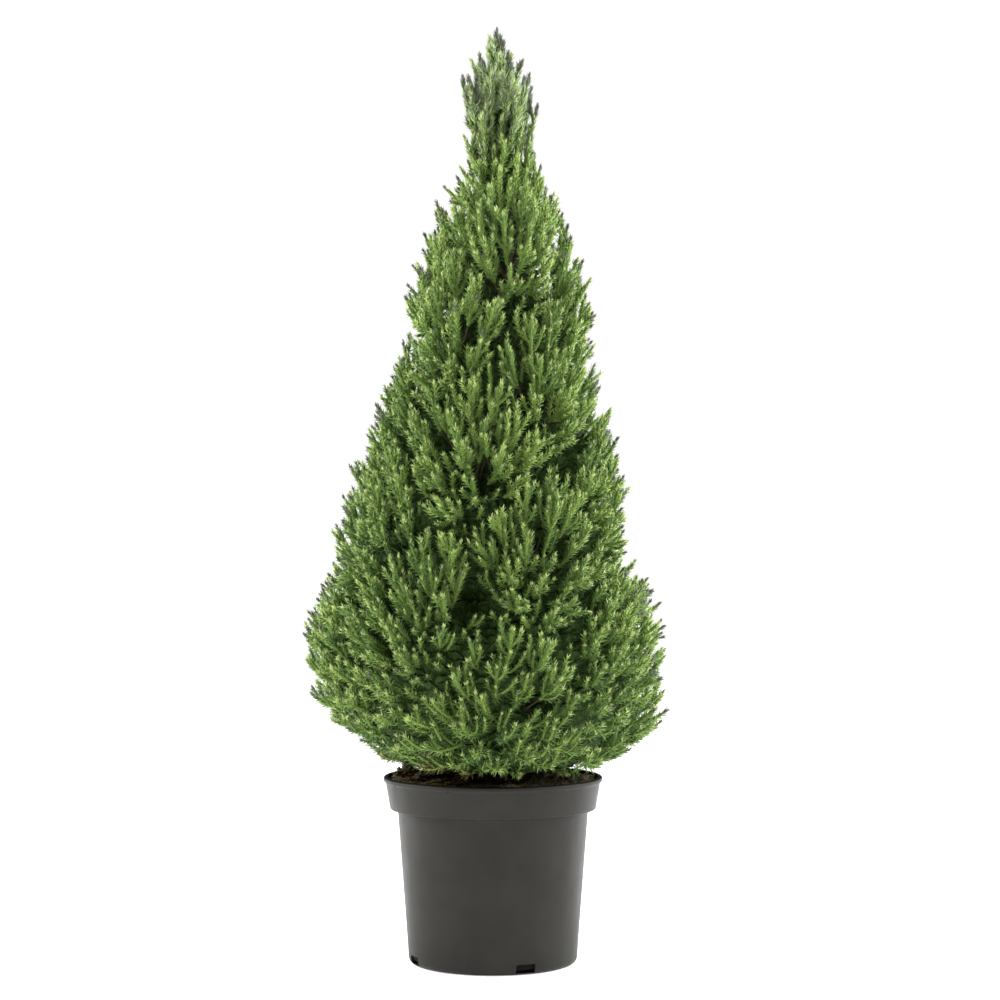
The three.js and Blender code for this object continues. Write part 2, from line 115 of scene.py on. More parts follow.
SPRAY = {"least": 46.0, "most": 60.0, "neck": 0.5, "neck_radius": 0.34, "needles": 0.7, "margin": 1.4}
SPRAY_FLOOR = POT_HEIGHT + 1.5
TRUNK_MARGIN = 2.0
NEEDLE_REACH = [(0, 6.5), (45, 9), (110, 13)]
ELBOW_ROOM = 1.15
CANDIDATES = 5200
TIP_DEPTH = 0.05
TWIG_RADIUS = 1.3
TWIG_LEAN = 0.7
TWIG_SHARES = {"tested": (0.4, 0.7), "held": (0.5, 0.75)}
TWIG_ROOMS = (1.5, 2)  # in the twig's radii
NECK_ROOM = 0.6  # of the needles' room
NEEDLED_SHARE = 0.85  # of a spray, where its outer needles stand
SPREADS = (0.3, 0.8)
SHOOT_RISE = [(228, -8), (262, 18), (310, 38), (400, 56), (700, 66), (900, 74), (1021, 82)]
RISE_JITTER = 14.0
SWING_JITTER = 0.5
SEED = 20
REPEATABLE = {"factor": 1664525, "step": 1013904223, "range": 2**32}

# ---- Sizes that only the finer growth has. Tables of pairs give a value by height, unless they say otherwise

# Each leading shoot carries a fan of side shoots, and shorter ones fill in deeper between the fans
FAN = {
    "tries": 14, "first": 9.0, "last": 52.0, "length": 19.0, "length_gain": 0.34,
    "length_jitter": (0.8, 1.15), "vigour": (0.7, 1.1), "angle": 43.0, "end_angle": 9.0,
    "angle_jitter": (0.8, 1.2), "ahead": 3.0, "margin": 1.5, "overreach": -3.0, "held": (0.35, 0.7, 1.0),
    "from_leader": 1.7, "seed": 5,
}
FAN_ROOM = [(260, 5.4), (340, 4.0), (850, 4.0), (930, 3.3)]  # the room that a side shoot keeps
FAN_LIFT = [(225, 1.5), (290, 0.9), (380, 0.3)]  # how much side shoots turn up
TIP_FAN = {"overreach": -5.0, "highest": 938.0, "central": 984.0}  # limits on the crown's tip
INFILL = {
    "candidates": 9000, "wanted": 1080, "length": (22.0, 32.0), "shallowest": 9.0, "depth": 21.0,
    "deepest": 0.55, "turn": 1.0, "steepest": 86.0, "rise_jitter": 28.0, "swing_jitter": 1.2, "spread": 0.2,
    "margin": 1.0, "held": (0.5, 1.0), "from_others": 1.5, "seed": 7,
}
INFILL_TWIG = {"lean": 0.8, "first_point": 2, "end_points": 4, "least_step": 0.1}
INFILL_ROOM = [(850, 4.2), (910, 3.0)]
INFILL_LEAST_RISE = [(300, 55), (380, 0)]
LEADER_END = 7  # how many points at the end of a leading shoot keep other shoots off
SHORTENED = {"share": 0.6, "most": 12.0, "seed": 3}  # leading shoots that end short of the outline
# How much lower the shoots of the crown's tip end, by how near they stand to the central one
SPIRE_DROP = [(0, 6), (8, 6), (14, 34), (20, 30), (25, 14), (32, 4), (45, 0)]
# How far each kind of shoot's two handles lie towards its knee and on from it, and its number of points
PATHS = {"leading": (0.6, 0.4, 20), "fan": (0.6, 0.15, 9), "infill": (0.55, 0.25, 9)}
SAG = [(225, 17.0), (290, 10.0), (400, 0.0)]  # how far low shoots hang before their ends turn up
SAG_MARGIN = 4.0  # above the lowest height for a shoot
# Places where few side shoots grow, so that the dark inside shows: azimuth and height of the middle, width
# and height. More lie at random over the other sides.
GAPS = [
    (-85, 762, 13, 20), (-112, 700, 12, 16), (-114, 576, 14, 22), (-92, 529, 16, 17), (-97, 402, 20, 32),
    (-86, 262, 12, 20), (-72, 297, 26, 13), (-128, 350, 12, 14), (-60, 450, 12, 18), (-58, 610, 11, 16),
]
MORE_GAPS = {"azimuth": (-40, 220), "z": (260, 780), "width": (11, 20), "height": (13, 26)}
MORE_GAPS_COUNT = 18
MORE_GAPS_SEED = 31
BARE = 0.4  # how near the middle of a gap side shoots stop, from 1 in the middle to 0

NEEDLE = {
    "length": 8.8, "tip_length": 6.6, "full_length_from": 8.0, "length_jitter": (0.85, 1.12), "width": 1.6,
    "width_jitter": (0.85, 1.15), "thickness": 0.5, "broadest": 0.4, "lift": 0.25, "angle_jitter": 6,
    "turn_jitter": 0.25, "roll_jitter": 0.25, "least": 8,
}
NEEDLE_ANGLES = [(0.0, 50), (0.5, 38), (0.85, 30), (1.0, 13)]  # from the shoot, by the share of its length
# Up on the spire the needles are longer, broader and denser, and lie closer to their shoot
SPIRE = {"foot": 880.0, "full": 940.0, "length": 1.25, "width": 1.25, "spacing": 0.5, "angle": 0.7, "dull": 2}
# Low down they are longer and stand out wider
NEEDLE_SPREAD = [(250, 1.35), (340, 1.0)]
NEEDLE_GROWTH = [(250, 1.2), (340, 1.0)]
LEADER_ZONE = {"length": (46.0, 58.0), "spacing": 0.64}  # the needled length of a shoot
FAN_ZONE = {"share": 0.88, "spacing": 0.7}
INFILL_ZONE = {"length": (22.0, 30.0), "spacing": 0.85}
LONGEST_ZONE = 0.96  # of a shoot's length

TONE_ORDER = ["fresh", "green", "deep", "old"]
OLDEST = len(TONE_ORDER) - 1
TONE = {"middle": 0.9, "by_depth": 0.055, "by_spray": 0.5, "by_shoot": 0.35, "seed": 12}
TONE_LIFT = [(213, 0.0), (500, 0.1), (900, 0.35)]  # how much fresher shoots are, by their bough's root
AGEING = {"foot": 0.22, "mixed": 0.45, "chance": 0.5}  # shares of a needled zone that are a tone older
PALE_TIPS = {"zone": 6.0, "share": 0.45}
GREY_SHARE = 0.7  # of the needles on the spire
DUSKY = {  # ends darkened on the crown's left and right and on the spire's outer shoots: partly dark buds, partly painted shade where they stand in the outline
    "zone": 9.0, "side": 0.86, "side_share": 0.7, "spire_side": 0.6, "spire_share": 0.75, "share": 0.015,
    "near_outline": -9.0, "zone_jitter": (0.5, 1.1),
}
DRY = {"below": 236.0, "azimuth": (195, 265), "shoots": 0.5, "needles": 0.75}  # shoots without green
BUD = {
    "sides": 5, "radius": 1.5, "sunk": 2.5, "broadest": 0.8, "length": 3.6, "jitter": (0.75, 1.25),
    "dark_share": 0.06,
}
MOST_NEEDLES = 48000  # in one piece


def look_up(table, x):
    xs, ys = zip(*table)
    return np.interp(x, xs, ys)


def source_numbers(seed, count):
    """The repeatable numbers of the part's source."""
    made = np.empty(count)
    for i in range(count):
        seed = (seed * REPEATABLE["factor"] + REPEATABLE["step"]) % REPEATABLE["range"]
        made[i] = seed / REPEATABLE["range"]
    return made


def unit(vectors):
    return vectors / np.maximum(np.linalg.norm(vectors, axis=-1, keepdims=True), TINY)


def outwards(azimuth):
    azimuth = np.asarray(azimuth, float)
    return np.stack([np.cos(azimuth), np.sin(azimuth), np.zeros_like(azimuth)], -1)


def upwards(height):
    return np.stack([height * 0, height * 0, height], -1)


def between(start, end, share):
    return start + (end - start) * share


def around(direction, angle):
    """Directions square to the given ones, turned round them by an angle."""
    leaning = np.abs(direction[..., 2:]) < NEARLY_UPRIGHT
    reference = np.where(leaning, [0.0, 0.0, 1.0], [1.0, 0.0, 0.0])
    u = unit(np.cross(reference, direction))
    return u * np.cos(angle)[..., None] + np.cross(direction, u) * np.sin(angle)[..., None]


def turns(count):
    return TAU * np.arange(count) / count


def turn_between(azimuth, other):
    apart = np.abs(azimuth - other) % TAU
    return np.minimum(apart, TAU - apart)


# ---- The crown's own coordinates


def axis_point(z):
    z = np.asarray(z, float)
    x, y = (width * np.sin(np.pi * (z - TRUNK_FOOT) / half_wave) for width, half_wave in SWAY.values())
    return np.stack([x, y, z], -1)


def steepness(root):
    return STEEPNESS_AT_LOWEST + STEEPNESS_GAIN * (root - LOWEST_BOUGH)


def root_of(radius, z):
    flat = STEEPNESS_AT_LOWEST - STEEPNESS_GAIN * LOWEST_BOUGH
    return (z - flat * radius) / (1 + STEEPNESS_GAIN * radius)


def summed(parts):
    return np.concatenate([[0], np.cumsum(parts)])


def outline_samples():
    points = np.array(CROWN_OUTLINE, float)
    last = len(points) - 1
    t = np.arange(OUTLINE_SAMPLES + 1) / OUTLINE_SAMPLES * last
    i = np.minimum(t.astype(int), last)
    w = (t - i)[:, None]
    before, here, after, beyond = (points[np.clip(i + k, 0, last)] for k in (-1, 0, 1, 2))
    v0, v1 = (after - before) / 2, (beyond - here) / 2
    cube = 2 * here - 2 * after + v0 + v1
    square = 3 * after - 3 * here - 2 * v0 - v1
    radius, z = (cube * w**3 + square * w**2 + v0 * w + here).T
    step = np.hypot(np.diff(radius), np.diff(z))
    pair = radius[1:] + radius[:-1]
    return {
        "radius": np.maximum(radius, 0), "z": z, "root": root_of(radius, z), "along": summed(step),
        "area": summed(step * pair), "crowd": summed(step * np.maximum(pair, 0) ** CROWDING),
    }


surface = outline_samples()
whole = {key: values[-1] for key, values in surface.items()}


def surface_where(measure, value):
    rising = np.maximum.accumulate(surface[measure])
    return {key: np.interp(value, rising, values) for key, values in surface.items()}


def crown_place(points):
    off = points - axis_point(points[..., 2])
    radius = np.hypot(off[..., 0], off[..., 1])
    root = root_of(radius, points[..., 2])
    azimuth = np.arctan2(off[..., 1], off[..., 0])
    return {"radius": radius, "root": root, "azimuth": azimuth, "edge": surface_where("root", root)}


def nearness(azimuth, radius, z, middle, height, wide, high):
    """1 in the middle of a patch of the crown's surface, falling to 0 away from it."""
    across = turn_between(azimuth, math.radians(middle)) * radius / wide
    return np.exp(-(across**2) - ((z - height) / high) ** 2)


def fullness(azimuth, edge):
    """How far shoots reach at an azimuth and a place on the outline, as a share of the crown's radius."""
    share = np.ones_like(azimuth, float)
    for *patch, depth in HOLLOWS:
        share -= depth * nearness(azimuth, edge["radius"], edge["z"], *patch)
    return share


def on_bough_line(edge, azimuth, share):
    radius = edge["radius"] * share
    return axis_point(edge["root"] + steepness(edge["root"]) * radius) + outwards(azimuth) * radius[..., None]


# ---- The masses' places

below = surface_where("root", FIRST_MASS_ROOT)["crowd"]
site_azimuth = np.arange(MASS_COUNT) * GOLDEN_ANGLE
site_shares = (np.arange(MASS_COUNT) + 0.5) * (whole["crowd"] - below) / MASS_COUNT
site_edge = surface_where("crowd", below + site_shares)
TERMINAL = MASS_COUNT - 1
bough_radius = BOUGH["radius"] + BOUGH["radius_gain"] * site_edge["radius"]


def edges_of(sites):
    return {key: values[sites] for key, values in site_edge.items()}


def distances(place):
    """From each place to each mass but the terminal one, measured over the crown's surface."""
    turn = turn_between(place["azimuth"][..., None], site_azimuth[:-1])
    rise = place["edge"]["along"][..., None] - site_edge["along"][:-1]
    return np.hypot(turn * place["edge"]["radius"][..., None], rise)


def nearest_site(place):
    return np.where(place["root"] > TRUNK_TIP, TERMINAL, distances(place).argmin(-1))


def room_in(sites, place):
    """How far each place lies inside the space of its mass."""
    above = place["root"] - TRUNK_TIP
    away = distances(place)
    index = np.broadcast_to(np.minimum(sites, TERMINAL - 1), above.shape)[..., None]
    own = np.take_along_axis(away, index, -1)[..., 0]
    np.put_along_axis(away, index, np.inf, -1)
    return np.where(sites == TERMINAL, above, np.minimum((away.min(-1) - own) / 2, -above))


def stem_point(sites, share):
    sites, share = np.broadcast_arrays(sites, share)
    edge = edges_of(sites)
    start = np.where(sites < BOUGH_COUNT, BOUGH["end"] + GAP / np.maximum(edge["radius"], 1), 0.0)
    on_line = on_bough_line(edge, site_azimuth[sites], start + (STEM["end"] - start) * share)
    on_tip = axis_point(TRUNK_TIP + GAP + TIP_STEM["length"] * share)
    return np.where((sites == TERMINAL)[..., None], on_tip, on_line)


def twig_root(sites, foot):
    """Where on the outer half of its stem each twig starts."""
    samples = stem_point(sites[:, None], (np.arange(STEM["samples"] + 1) / STEM["samples"])[None])
    away = np.linalg.norm(samples - foot[:, None], axis=-1)
    nearest = away.argmin(1)
    spacing = np.linalg.norm(samples[:, 0] - samples[:, 1], axis=-1)
    back = TWIG_LEAN * away[np.arange(len(foot)), nearest] / spacing
    chosen = np.maximum(STEM["samples"] // 2, np.floor(nearest - back + 0.5).astype(int))
    return samples[np.arange(len(foot)), chosen]


# ---- Where shoots may grow

TEST_BATCHES = 20  # so that the distances between all shoots fit in memory


def keep_clear(inside, centres, rooms, wanted):
    """The rows that are inside and touch none kept before, tried in order: (row, try) for each."""
    kept = []
    held = np.empty((0, 3))
    held_rooms = np.empty(0)
    for row, attempts in enumerate(inside):
        for attempt in np.flatnonzero(attempts):
            own, own_rooms = centres[row, attempt], rooms[row, attempt]
            gaps = np.linalg.norm(own[:, None] - held[None], axis=-1) - own_rooms[:, None] - held_rooms[None]
            if gaps.size and gaps.min() < 0:
                continue
            kept.append((row, attempt))
            held = np.concatenate([held, own])
            held_rooms = np.concatenate([held_rooms, own_rooms])
            break
        if len(kept) == wanted:
            break
    return np.array(kept)


def in_own_space(points, sites, margin):
    """Which points are off the trunk, above the pot and inside the space of their mass, with their places."""
    place = crown_place(points)
    z = points[..., 2]
    off_trunk = (z > TRUNK_TIP) | (place["radius"] > look_up(TRUNK_RADII, z) + TRUNK_MARGIN)
    return off_trunk & (z > SPRAY_FLOOR) & (room_in(sites[:, None], place) > margin), place


def needle_ring(centre, direction, reach, turn):
    angles = turn[..., None] + turns(3)
    return centre[..., None, :] + around(direction[..., None, :], angles) * reach[..., None, None]


def shoot_headings(azimuth, rise, tip):
    """The way that a shoot rises and the way away from its mass's stem, and the masses."""
    sites = nearest_site(crown_place(tip))
    along = unit(outwards(azimuth) + upwards(np.tan(rise)))
    return sites, along, unit(tip - stem_point(sites, 0.5))


def leaders():
    """The source's own sprays: each becomes a leading shoot."""
    drawn = source_numbers(SEED, 5 * CANDIDATES).reshape(CANDIDATES, 5)
    i = np.arange(CANDIDATES - 1, -1, -1)
    edge = surface_where("area", whole["area"] * (i + 0.5) / CANDIDATES)
    azimuth = i * GOLDEN_ANGLE
    radius = edge["radius"] * (1 - TIP_DEPTH * drawn[:, 0]) * fullness(azimuth, edge)
    rise = np.radians(look_up(SHOOT_RISE, edge["z"]) + RISE_JITTER * (drawn[:, 1] - 0.5))
    swing = azimuth + SWING_JITTER * (drawn[:, 2] - 0.5)
    length = between(SPRAY["least"], SPRAY["most"], drawn[:, 3])
    turn = TAU * drawn[:, 4]
    tip = axis_point(edge["z"]) + outwards(azimuth) * radius[:, None]
    sites, along, away = shoot_headings(swing, rise, tip)
    reach = look_up(NEEDLE_REACH, edge["radius"])
    full = reach * ELBOW_ROOM
    twig_rooms = [full * 0 + room * TWIG_RADIUS for room in TWIG_ROOMS]
    rooms = np.stack([*twig_rooms, NECK_ROOM * full, full, full], 1)
    found = {"inside": [], "centres": [], "foot": [], "root": [], "direction": []}
    for spread in SPREADS:
        direction = unit(along + (away - along) * spread)
        foot = tip - direction * length[:, None]
        root = twig_root(sites, foot)
        heading = unit(tip - foot)
        spray_shares = (SPRAY["neck"], SPRAY["needles"], NEEDLED_SHARE)
        neck, middle, outer = (between(foot, tip, share) for share in spray_shares)
        tested, held = ([between(root, neck, share) for share in shares] for shares in TWIG_SHARES.values())
        needles = needle_ring(middle, heading, reach, turn)
        hollows = needle_ring(neck, heading, reach * SPRAY["neck_radius"], turn - np.pi / 3)
        ends = np.stack([tip, *tested], 1)
        halves = [(needles + tip[:, None]) / 2, (needles + neck[:, None]) / 2]
        inside, _ = in_own_space(np.concatenate([ends, hollows, needles, *halves], 1), sites, SPRAY["margin"])
        centres = np.stack([*held, neck, middle, outer], 1)
        for key, value in zip(found, (inside.all(1), centres, foot, root, direction)):
            found[key].append(value)
    found = {key: np.stack(values, 1) for key, values in found.items()}
    all_rooms = np.stack([rooms] * len(SPREADS), 1)
    row, attempt = keep_clear(found["inside"], found["centres"], all_rooms, CANDIDATES).T
    chosen = {key: found[key][row, attempt] for key in ("foot", "root", "direction")}
    return {**chosen, "tip": tip[row], "site": sites[row]}


def bezier(p0, p1, p2, p3, count):
    t = np.linspace(0, 1, count)[None, :, None]
    p0, p1, p2, p3 = (p[:, None] for p in (p0, p1, p2, p3))
    return p0 * (1 - t) ** 3 + 3 * p1 * t * (1 - t) ** 2 + 3 * p2 * t**2 * (1 - t) + p3 * t**3


def shoot_curves(kind, root, knee, tip):
    """Curves from each root past a knee to the tip. Low leading shoots hang a little before they rise."""
    towards_knee, past_knee, count = PATHS[kind]
    handle = between(knee, tip, past_knee)
    if kind == "leading":
        lowest = np.minimum(handle[:, 2], SPRAY_FLOOR + SAG_MARGIN)
        handle[:, 2] = np.maximum(handle[:, 2] - look_up(SAG, tip[:, 2]), lowest)
    return bezier(root, between(root, knee, towards_knee), handle, tip, count)


def gaps_all_round():
    rng = np.random.default_rng(MORE_GAPS_SEED)
    return [*GAPS, *zip(*[rng.uniform(*limits, MORE_GAPS_COUNT) for limits in MORE_GAPS.values()])]


ALL_GAPS = gaps_all_round()


def bareness(azimuth, radius, z):
    """1 in the middle of a gap, falling to 0 away from them all."""
    most = np.zeros(np.broadcast(azimuth, radius, z).shape)
    for gap in ALL_GAPS:
        most = np.maximum(most, nearness(azimuth, radius, z, *gap))
    return most


def beyond_crown(points, place):
    """How far each point stands out of the crown's outline."""
    return place["radius"] - place["edge"]["radius"] * fullness(place["azimuth"], place["edge"])


def stands_free(start, tip, shares, room, apart, others):
    """Which shoots keep clear of other points and of the gaps, and the centres and rooms that they hold."""
    centres = np.stack([between(start, tip, share) for share in shares], 1)
    rooms = np.repeat(room[:, None, None], len(shares), 2)
    near = np.zeros(len(tip), bool)
    outer = centres[:, -2:]
    for rows in np.array_split(np.arange(len(tip)), TEST_BATCHES):
        gaps = np.linalg.norm(outer[rows, :, None] - others[None, None], axis=-1)
        near[rows] = gaps.min((1, 2)) < apart * room[rows]
    place = crown_place(tip)
    bare = bareness(place["azimuth"], place["radius"], tip[:, 2]) > BARE
    return ~near & ~bare, centres, rooms


def path_points(along, curve, at):
    return np.stack([np.interp(at, along, curve[:, axis]) for axis in range(curve.shape[1])], -1)


def path_lengths(curve):
    return summed(np.linalg.norm(np.diff(curve, axis=0), axis=1))


# ---- The rules that shoots grow by


def fans(parents, curves):
    """Side shoots that leave each leading shoot in turn round it and bend forward with it."""
    rng = np.random.default_rng(FAN["seed"])
    count, tries = len(curves), FAN["tries"]
    back = between(FAN["first"], FAN["last"], (np.arange(tries) + rng.random((count, tries))) / tries)
    root, ahead = np.empty((2, count, tries, 3))
    for k, curve in enumerate(curves):
        along = path_lengths(curve)
        root[k] = path_points(along, curve, along[-1] - back[k])
        ahead[k] = path_points(along, curve, along[-1] - back[k] + FAN["ahead"])
    heading = unit(ahead - root)
    turn = (np.arange(tries) * GOLDEN_ANGLE)[None] + rng.uniform(0, TAU, (count, 1))
    out = around(heading, turn)
    length = (FAN["length"] + FAN["length_gain"] * back) * rng.uniform(*FAN["length_jitter"], (count, tries))
    half = (length * rng.uniform(*FAN["vigour"], (count, 1)) / 2)[..., None]
    jitter = rng.uniform(*FAN["angle_jitter"], (count, tries))

    def leaning(degrees):
        angle = (np.radians(degrees) * jitter)[..., None]
        return heading * np.cos(angle) + out * np.sin(angle)

    bend = root + leaning(FAN["angle"]) * half
    lift = upwards(look_up(FAN_LIFT, root[..., 2]))
    tip = bend + unit(leaning(FAN["end_angle"]) + lift) * half
    flat = {"root": root, "bend": bend, "tip": tip}
    flat = {key: value.transpose(1, 0, 2).reshape(-1, 3) for key, value in flat.items()}
    bend, tip = flat["bend"], flat["tip"]
    parent = np.tile(np.arange(count), tries)
    sites = parents["site"][parent]
    tests = np.stack([bend, (bend + tip) / 2, tip], 1)
    inside, place = in_own_space(tests, sites, FAN["margin"])
    on_tip = (sites == TERMINAL)[:, None]
    inside &= beyond_crown(tests, place) < np.where(on_tip, TIP_FAN["overreach"], FAN["overreach"])
    central = (parent == parents["tip"][:, 2].argmax())[:, None]
    inside &= ~on_tip | (tests[..., 2] < np.where(central, TIP_FAN["central"], TIP_FAN["highest"]))
    others = curves[:, -LEADER_END:].reshape(-1, 3)
    room = look_up(FAN_ROOM, tip[:, 2])
    free, centres, rooms = stands_free(bend, tip, FAN["held"], room, FAN["from_leader"], others)
    kept = keep_clear((inside.all(1) & free)[:, None], centres[:, None], rooms, len(parent))[:, 0]
    made = {key: value[kept] for key, value in flat.items()}
    return {**made, "site": sites[kept], "parent": parent[kept], "held": centres[kept].reshape(-1, 3)}


def leave_parents(foot, sites, parents, curves):
    """Where each shoot's twig leaves the shoot of its mass that passes nearest, behind the nearest point."""
    root = np.empty_like(foot)
    parent = np.empty(len(foot), int)
    for k, site in enumerate(sites):
        own = np.flatnonzero(parents["site"] == site)
        usable = curves[own, : -INFILL_TWIG["end_points"]]
        gaps = np.linalg.norm(usable - foot[k], axis=-1)
        one, nearest = np.unravel_index(gaps.argmin(), gaps.shape)
        step = np.linalg.norm(usable[one, 1] - usable[one, 0])
        back = int(round(INFILL_TWIG["lean"] * gaps[one, nearest] / max(step, INFILL_TWIG["least_step"])))
        root[k] = usable[one, max(INFILL_TWIG["first_point"], nearest - back)]
        parent[k] = own[one]
    return root, parent


def infill(parents, curves, taken):
    """Shorter shoots deeper in the crown, each of which leaves the leading shoot that passes nearest."""
    count = INFILL["candidates"]
    rng = np.random.default_rng(INFILL["seed"])
    i = rng.permutation(count)
    edge = surface_where("area", whole["area"] * (i + 0.5) / count)
    azimuth = i * GOLDEN_ANGLE + INFILL["turn"]
    depth = INFILL["shallowest"] + INFILL["depth"] * rng.random(count)
    depth = np.minimum(depth, INFILL["deepest"] * edge["radius"])
    radius = np.maximum(edge["radius"] * fullness(azimuth, edge) - depth, 0)
    rise = look_up(SHOOT_RISE, edge["z"]) + INFILL["rise_jitter"] * (rng.random(count) - 0.5)
    rise = np.radians(np.clip(rise, look_up(INFILL_LEAST_RISE, edge["z"]), INFILL["steepest"]))
    swing = azimuth + INFILL["swing_jitter"] * (rng.random(count) - 0.5)
    length = rng.uniform(*INFILL["length"], count)
    tip = axis_point(edge["z"]) + outwards(azimuth) * radius[:, None]
    sites, along, away = shoot_headings(swing, rise, tip)
    foot = tip - unit(along + (away - along) * INFILL["spread"]) * length[:, None]
    inside, _ = in_own_space(np.stack([foot, (foot + tip) / 2, tip], 1), sites, INFILL["margin"])
    others = np.concatenate([taken, curves[:, -LEADER_END:].reshape(-1, 3)])
    room = look_up(INFILL_ROOM, edge["z"])
    free, centres, rooms = stands_free(foot, tip, INFILL["held"], room, INFILL["from_others"], others)
    kept = keep_clear((inside.all(1) & free)[:, None], centres[:, None], rooms, INFILL["wanted"])[:, 0]
    foot, tip, sites = foot[kept], tip[kept], sites[kept]
    root, parent = leave_parents(foot, sites, parents, curves)
    return {"foot": foot, "tip": tip, "root": root, "site": sites, "parent": parent}


def stretch(curves, first, last, count):
    """Each curve's stretch between two distances from its end, as a curve of evenly spaced points."""
    made = np.empty((len(curves), count, 3))
    for k, curve in enumerate(curves):
        along = path_lengths(curve)
        at = along[-1] - np.linspace(min(first[k], along[-1]), last[k], count)
        made[k] = path_points(along, curve, at)
    return made


# ---- Meshes


def mesh_piece(name, vertices, faces, material, slot, nodes, smooth=False):
    """A mesh from arrays in millimetres that rides on the plant's one body and replaces nodes."""
    mesh = bpy.data.meshes.new(name)
    mesh.vertices.add(len(vertices))
    mesh.vertices.foreach_set("co", (np.asarray(vertices) * MM).astype(np.float32).ravel())
    faces = np.asarray(faces, np.int32)
    mesh.loops.add(faces.size)
    mesh.loops.foreach_set("vertex_index", faces.ravel())
    mesh.polygons.add(len(faces))
    mesh.polygons.foreach_set("loop_start", np.arange(0, faces.size, faces.shape[1], dtype=np.int32))
    mesh.polygons.foreach_set("use_smooth", np.full(len(faces), smooth))
    mesh.update(calc_edges=True)
    mesh.materials.append(material)
    made = bpy.data.objects.new(name, mesh)
    bpy.context.scene.collection.objects.link(made)
    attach(made, "root")
    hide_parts(*nodes)
    return made


def ring_quads(rows, columns):
    """The quads between rings of points, each joined to the next."""
    i, j = np.meshgrid(np.arange(rows - 1) * columns, np.arange(columns), indexing="ij")
    on = (j + 1) % columns
    return np.stack([i + j, i + on, i + columns + on, i + columns + j], -1).reshape(-1, 4)


def halved(quads):
    return np.concatenate([quads[:, [0, 1, 2]], quads[:, [0, 2, 3]]])


def end_fans(rows, columns, end):
    """Triangles from the first ring to the point numbered end, and from the last ring to the next point."""
    k = np.arange(columns)
    on = (k + 1) % columns
    top = (rows - 1) * columns
    return [np.stack([on, k, k * 0 + end], -1), np.stack([top + k, top + on, k * 0 + end + 1], -1)]


def closed_rings(points, ends):
    """A closed body through rings of points (rows, columns, 3), with an end point before and one after."""
    rows, columns = points.shape[:2]
    faces = [halved(ring_quads(rows, columns)), *end_fans(rows, columns, rows * columns)]
    return np.concatenate([points.reshape(-1, 3), ends]), np.concatenate(faces)


def repeated(faces, points, count):
    """The faces of one body, for bodies that follow each other with so many points each."""
    return (np.asarray(faces)[None] + points * np.arange(count)[:, None, None]).reshape(-1, 3)


def tubes(curves, radii, sides):
    """Tubes along curves (count, points, 3) with radii (count, points), open at both ends."""
    count, points = curves.shape[:2]
    tangents = unit(np.gradient(curves, axis=1))
    ring = around(tangents[:, :, None], turns(sides))
    vertices = (curves[:, :, None] + ring * radii[:, :, None, None]).reshape(-1, 3)
    return vertices, repeated(halved(ring_quads(points, sides)), points * sides, count)


def tapered_tubes(curves, first, last, sides, end=None):
    radii = np.linspace(first, last, curves.shape[1])[None].repeat(len(curves), 0)
    if end is not None:
        radii[:, -1] = end
    return tubes(curves, radii, sides)


def joined(parts):
    starts = summed([len(vertices) for vertices, _ in parts[:-1]])
    faces = [part_faces + int(start) for (_, part_faces), start in zip(parts, starts)]
    return np.concatenate([vertices for vertices, _ in parts]), np.concatenate(faces)


# ---- Materials


def srgb(red, green, blue):
    """A colour given in the usual 0 to 255 steps, as the linear values that shaders take."""
    values = [channel / 255 for channel in (red, green, blue)]
    return (*[v / 12.92 if v <= 0.04045 else ((v + 0.055) / 1.055) ** 2.4 for v in values], 1.0)


def shade(colour, factor):
    return (*[min(1.0, channel * factor) for channel in colour[:3]], 1.0)


FLAKE_STRETCH = 0.35  # the smaller, the taller the flakes of bark


class Nodes:
    """Short names for building the node tree of a material or a world."""

    def __init__(self, owner, shader="Principled BSDF"):
        self.owner = owner
        self.owner.use_nodes = True
        self.tree = owner.node_tree
        self.shader = self.tree.nodes[shader]

    def add(self, kind, **inputs):
        node = self.tree.nodes.new(kind)
        for key, value in inputs.items():
            node.inputs[key.replace("_", " ")].default_value = value
        return node

    def link(self, source, target):
        self.tree.links.new(source, target)

    def noise(self, scale, detail=3.0, roughness=0.55, stretch=None):
        source = self.add("ShaderNodeTexCoord").outputs["Object"]
        if stretch:
            mapping = self.add("ShaderNodeMapping", Scale=stretch)
            self.link(source, mapping.inputs["Vector"])
            source = mapping.outputs["Vector"]
        made = self.add("ShaderNodeTexNoise", Scale=scale, Detail=detail, Roughness=roughness)
        self.link(source, made.inputs["Vector"])
        return made.outputs["Fac"]

    def ramp(self, factor, stops):
        made = self.add("ShaderNodeValToRGB")
        elements = made.color_ramp.elements
        while len(elements) < len(stops):
            elements.new(0.5)
        for element, (position, colour) in zip(elements, stops):
            element.position = position
            element.color = colour
        self.link(factor, made.inputs["Fac"])
        return made.outputs["Color"]

    def map(self, factor, span, to_span):
        """A socket's values, of which one span becomes another."""
        ends = {"From_Min": span[0], "From_Max": span[1], "To_Min": to_span[0], "To_Max": to_span[1]}
        made = self.add("ShaderNodeMapRange", **ends)
        self.link(factor, made.inputs["Value"])
        return made.outputs["Result"]

    def surface(self, colour, roughness, relief, specular, strength, distance):
        """Colour and roughness from sockets, and a bump from a third, that high in metres."""
        self.link(colour, self.shader.inputs["Base Color"])
        self.link(roughness, self.shader.inputs["Roughness"])
        self.shader.inputs["Specular IOR Level"].default_value = specular
        bump = self.add("ShaderNodeBump", Strength=strength, Distance=distance)
        self.link(relief, bump.inputs["Height"])
        self.link(bump.outputs["Normal"], self.shader.inputs["Normal"])
        return self.owner


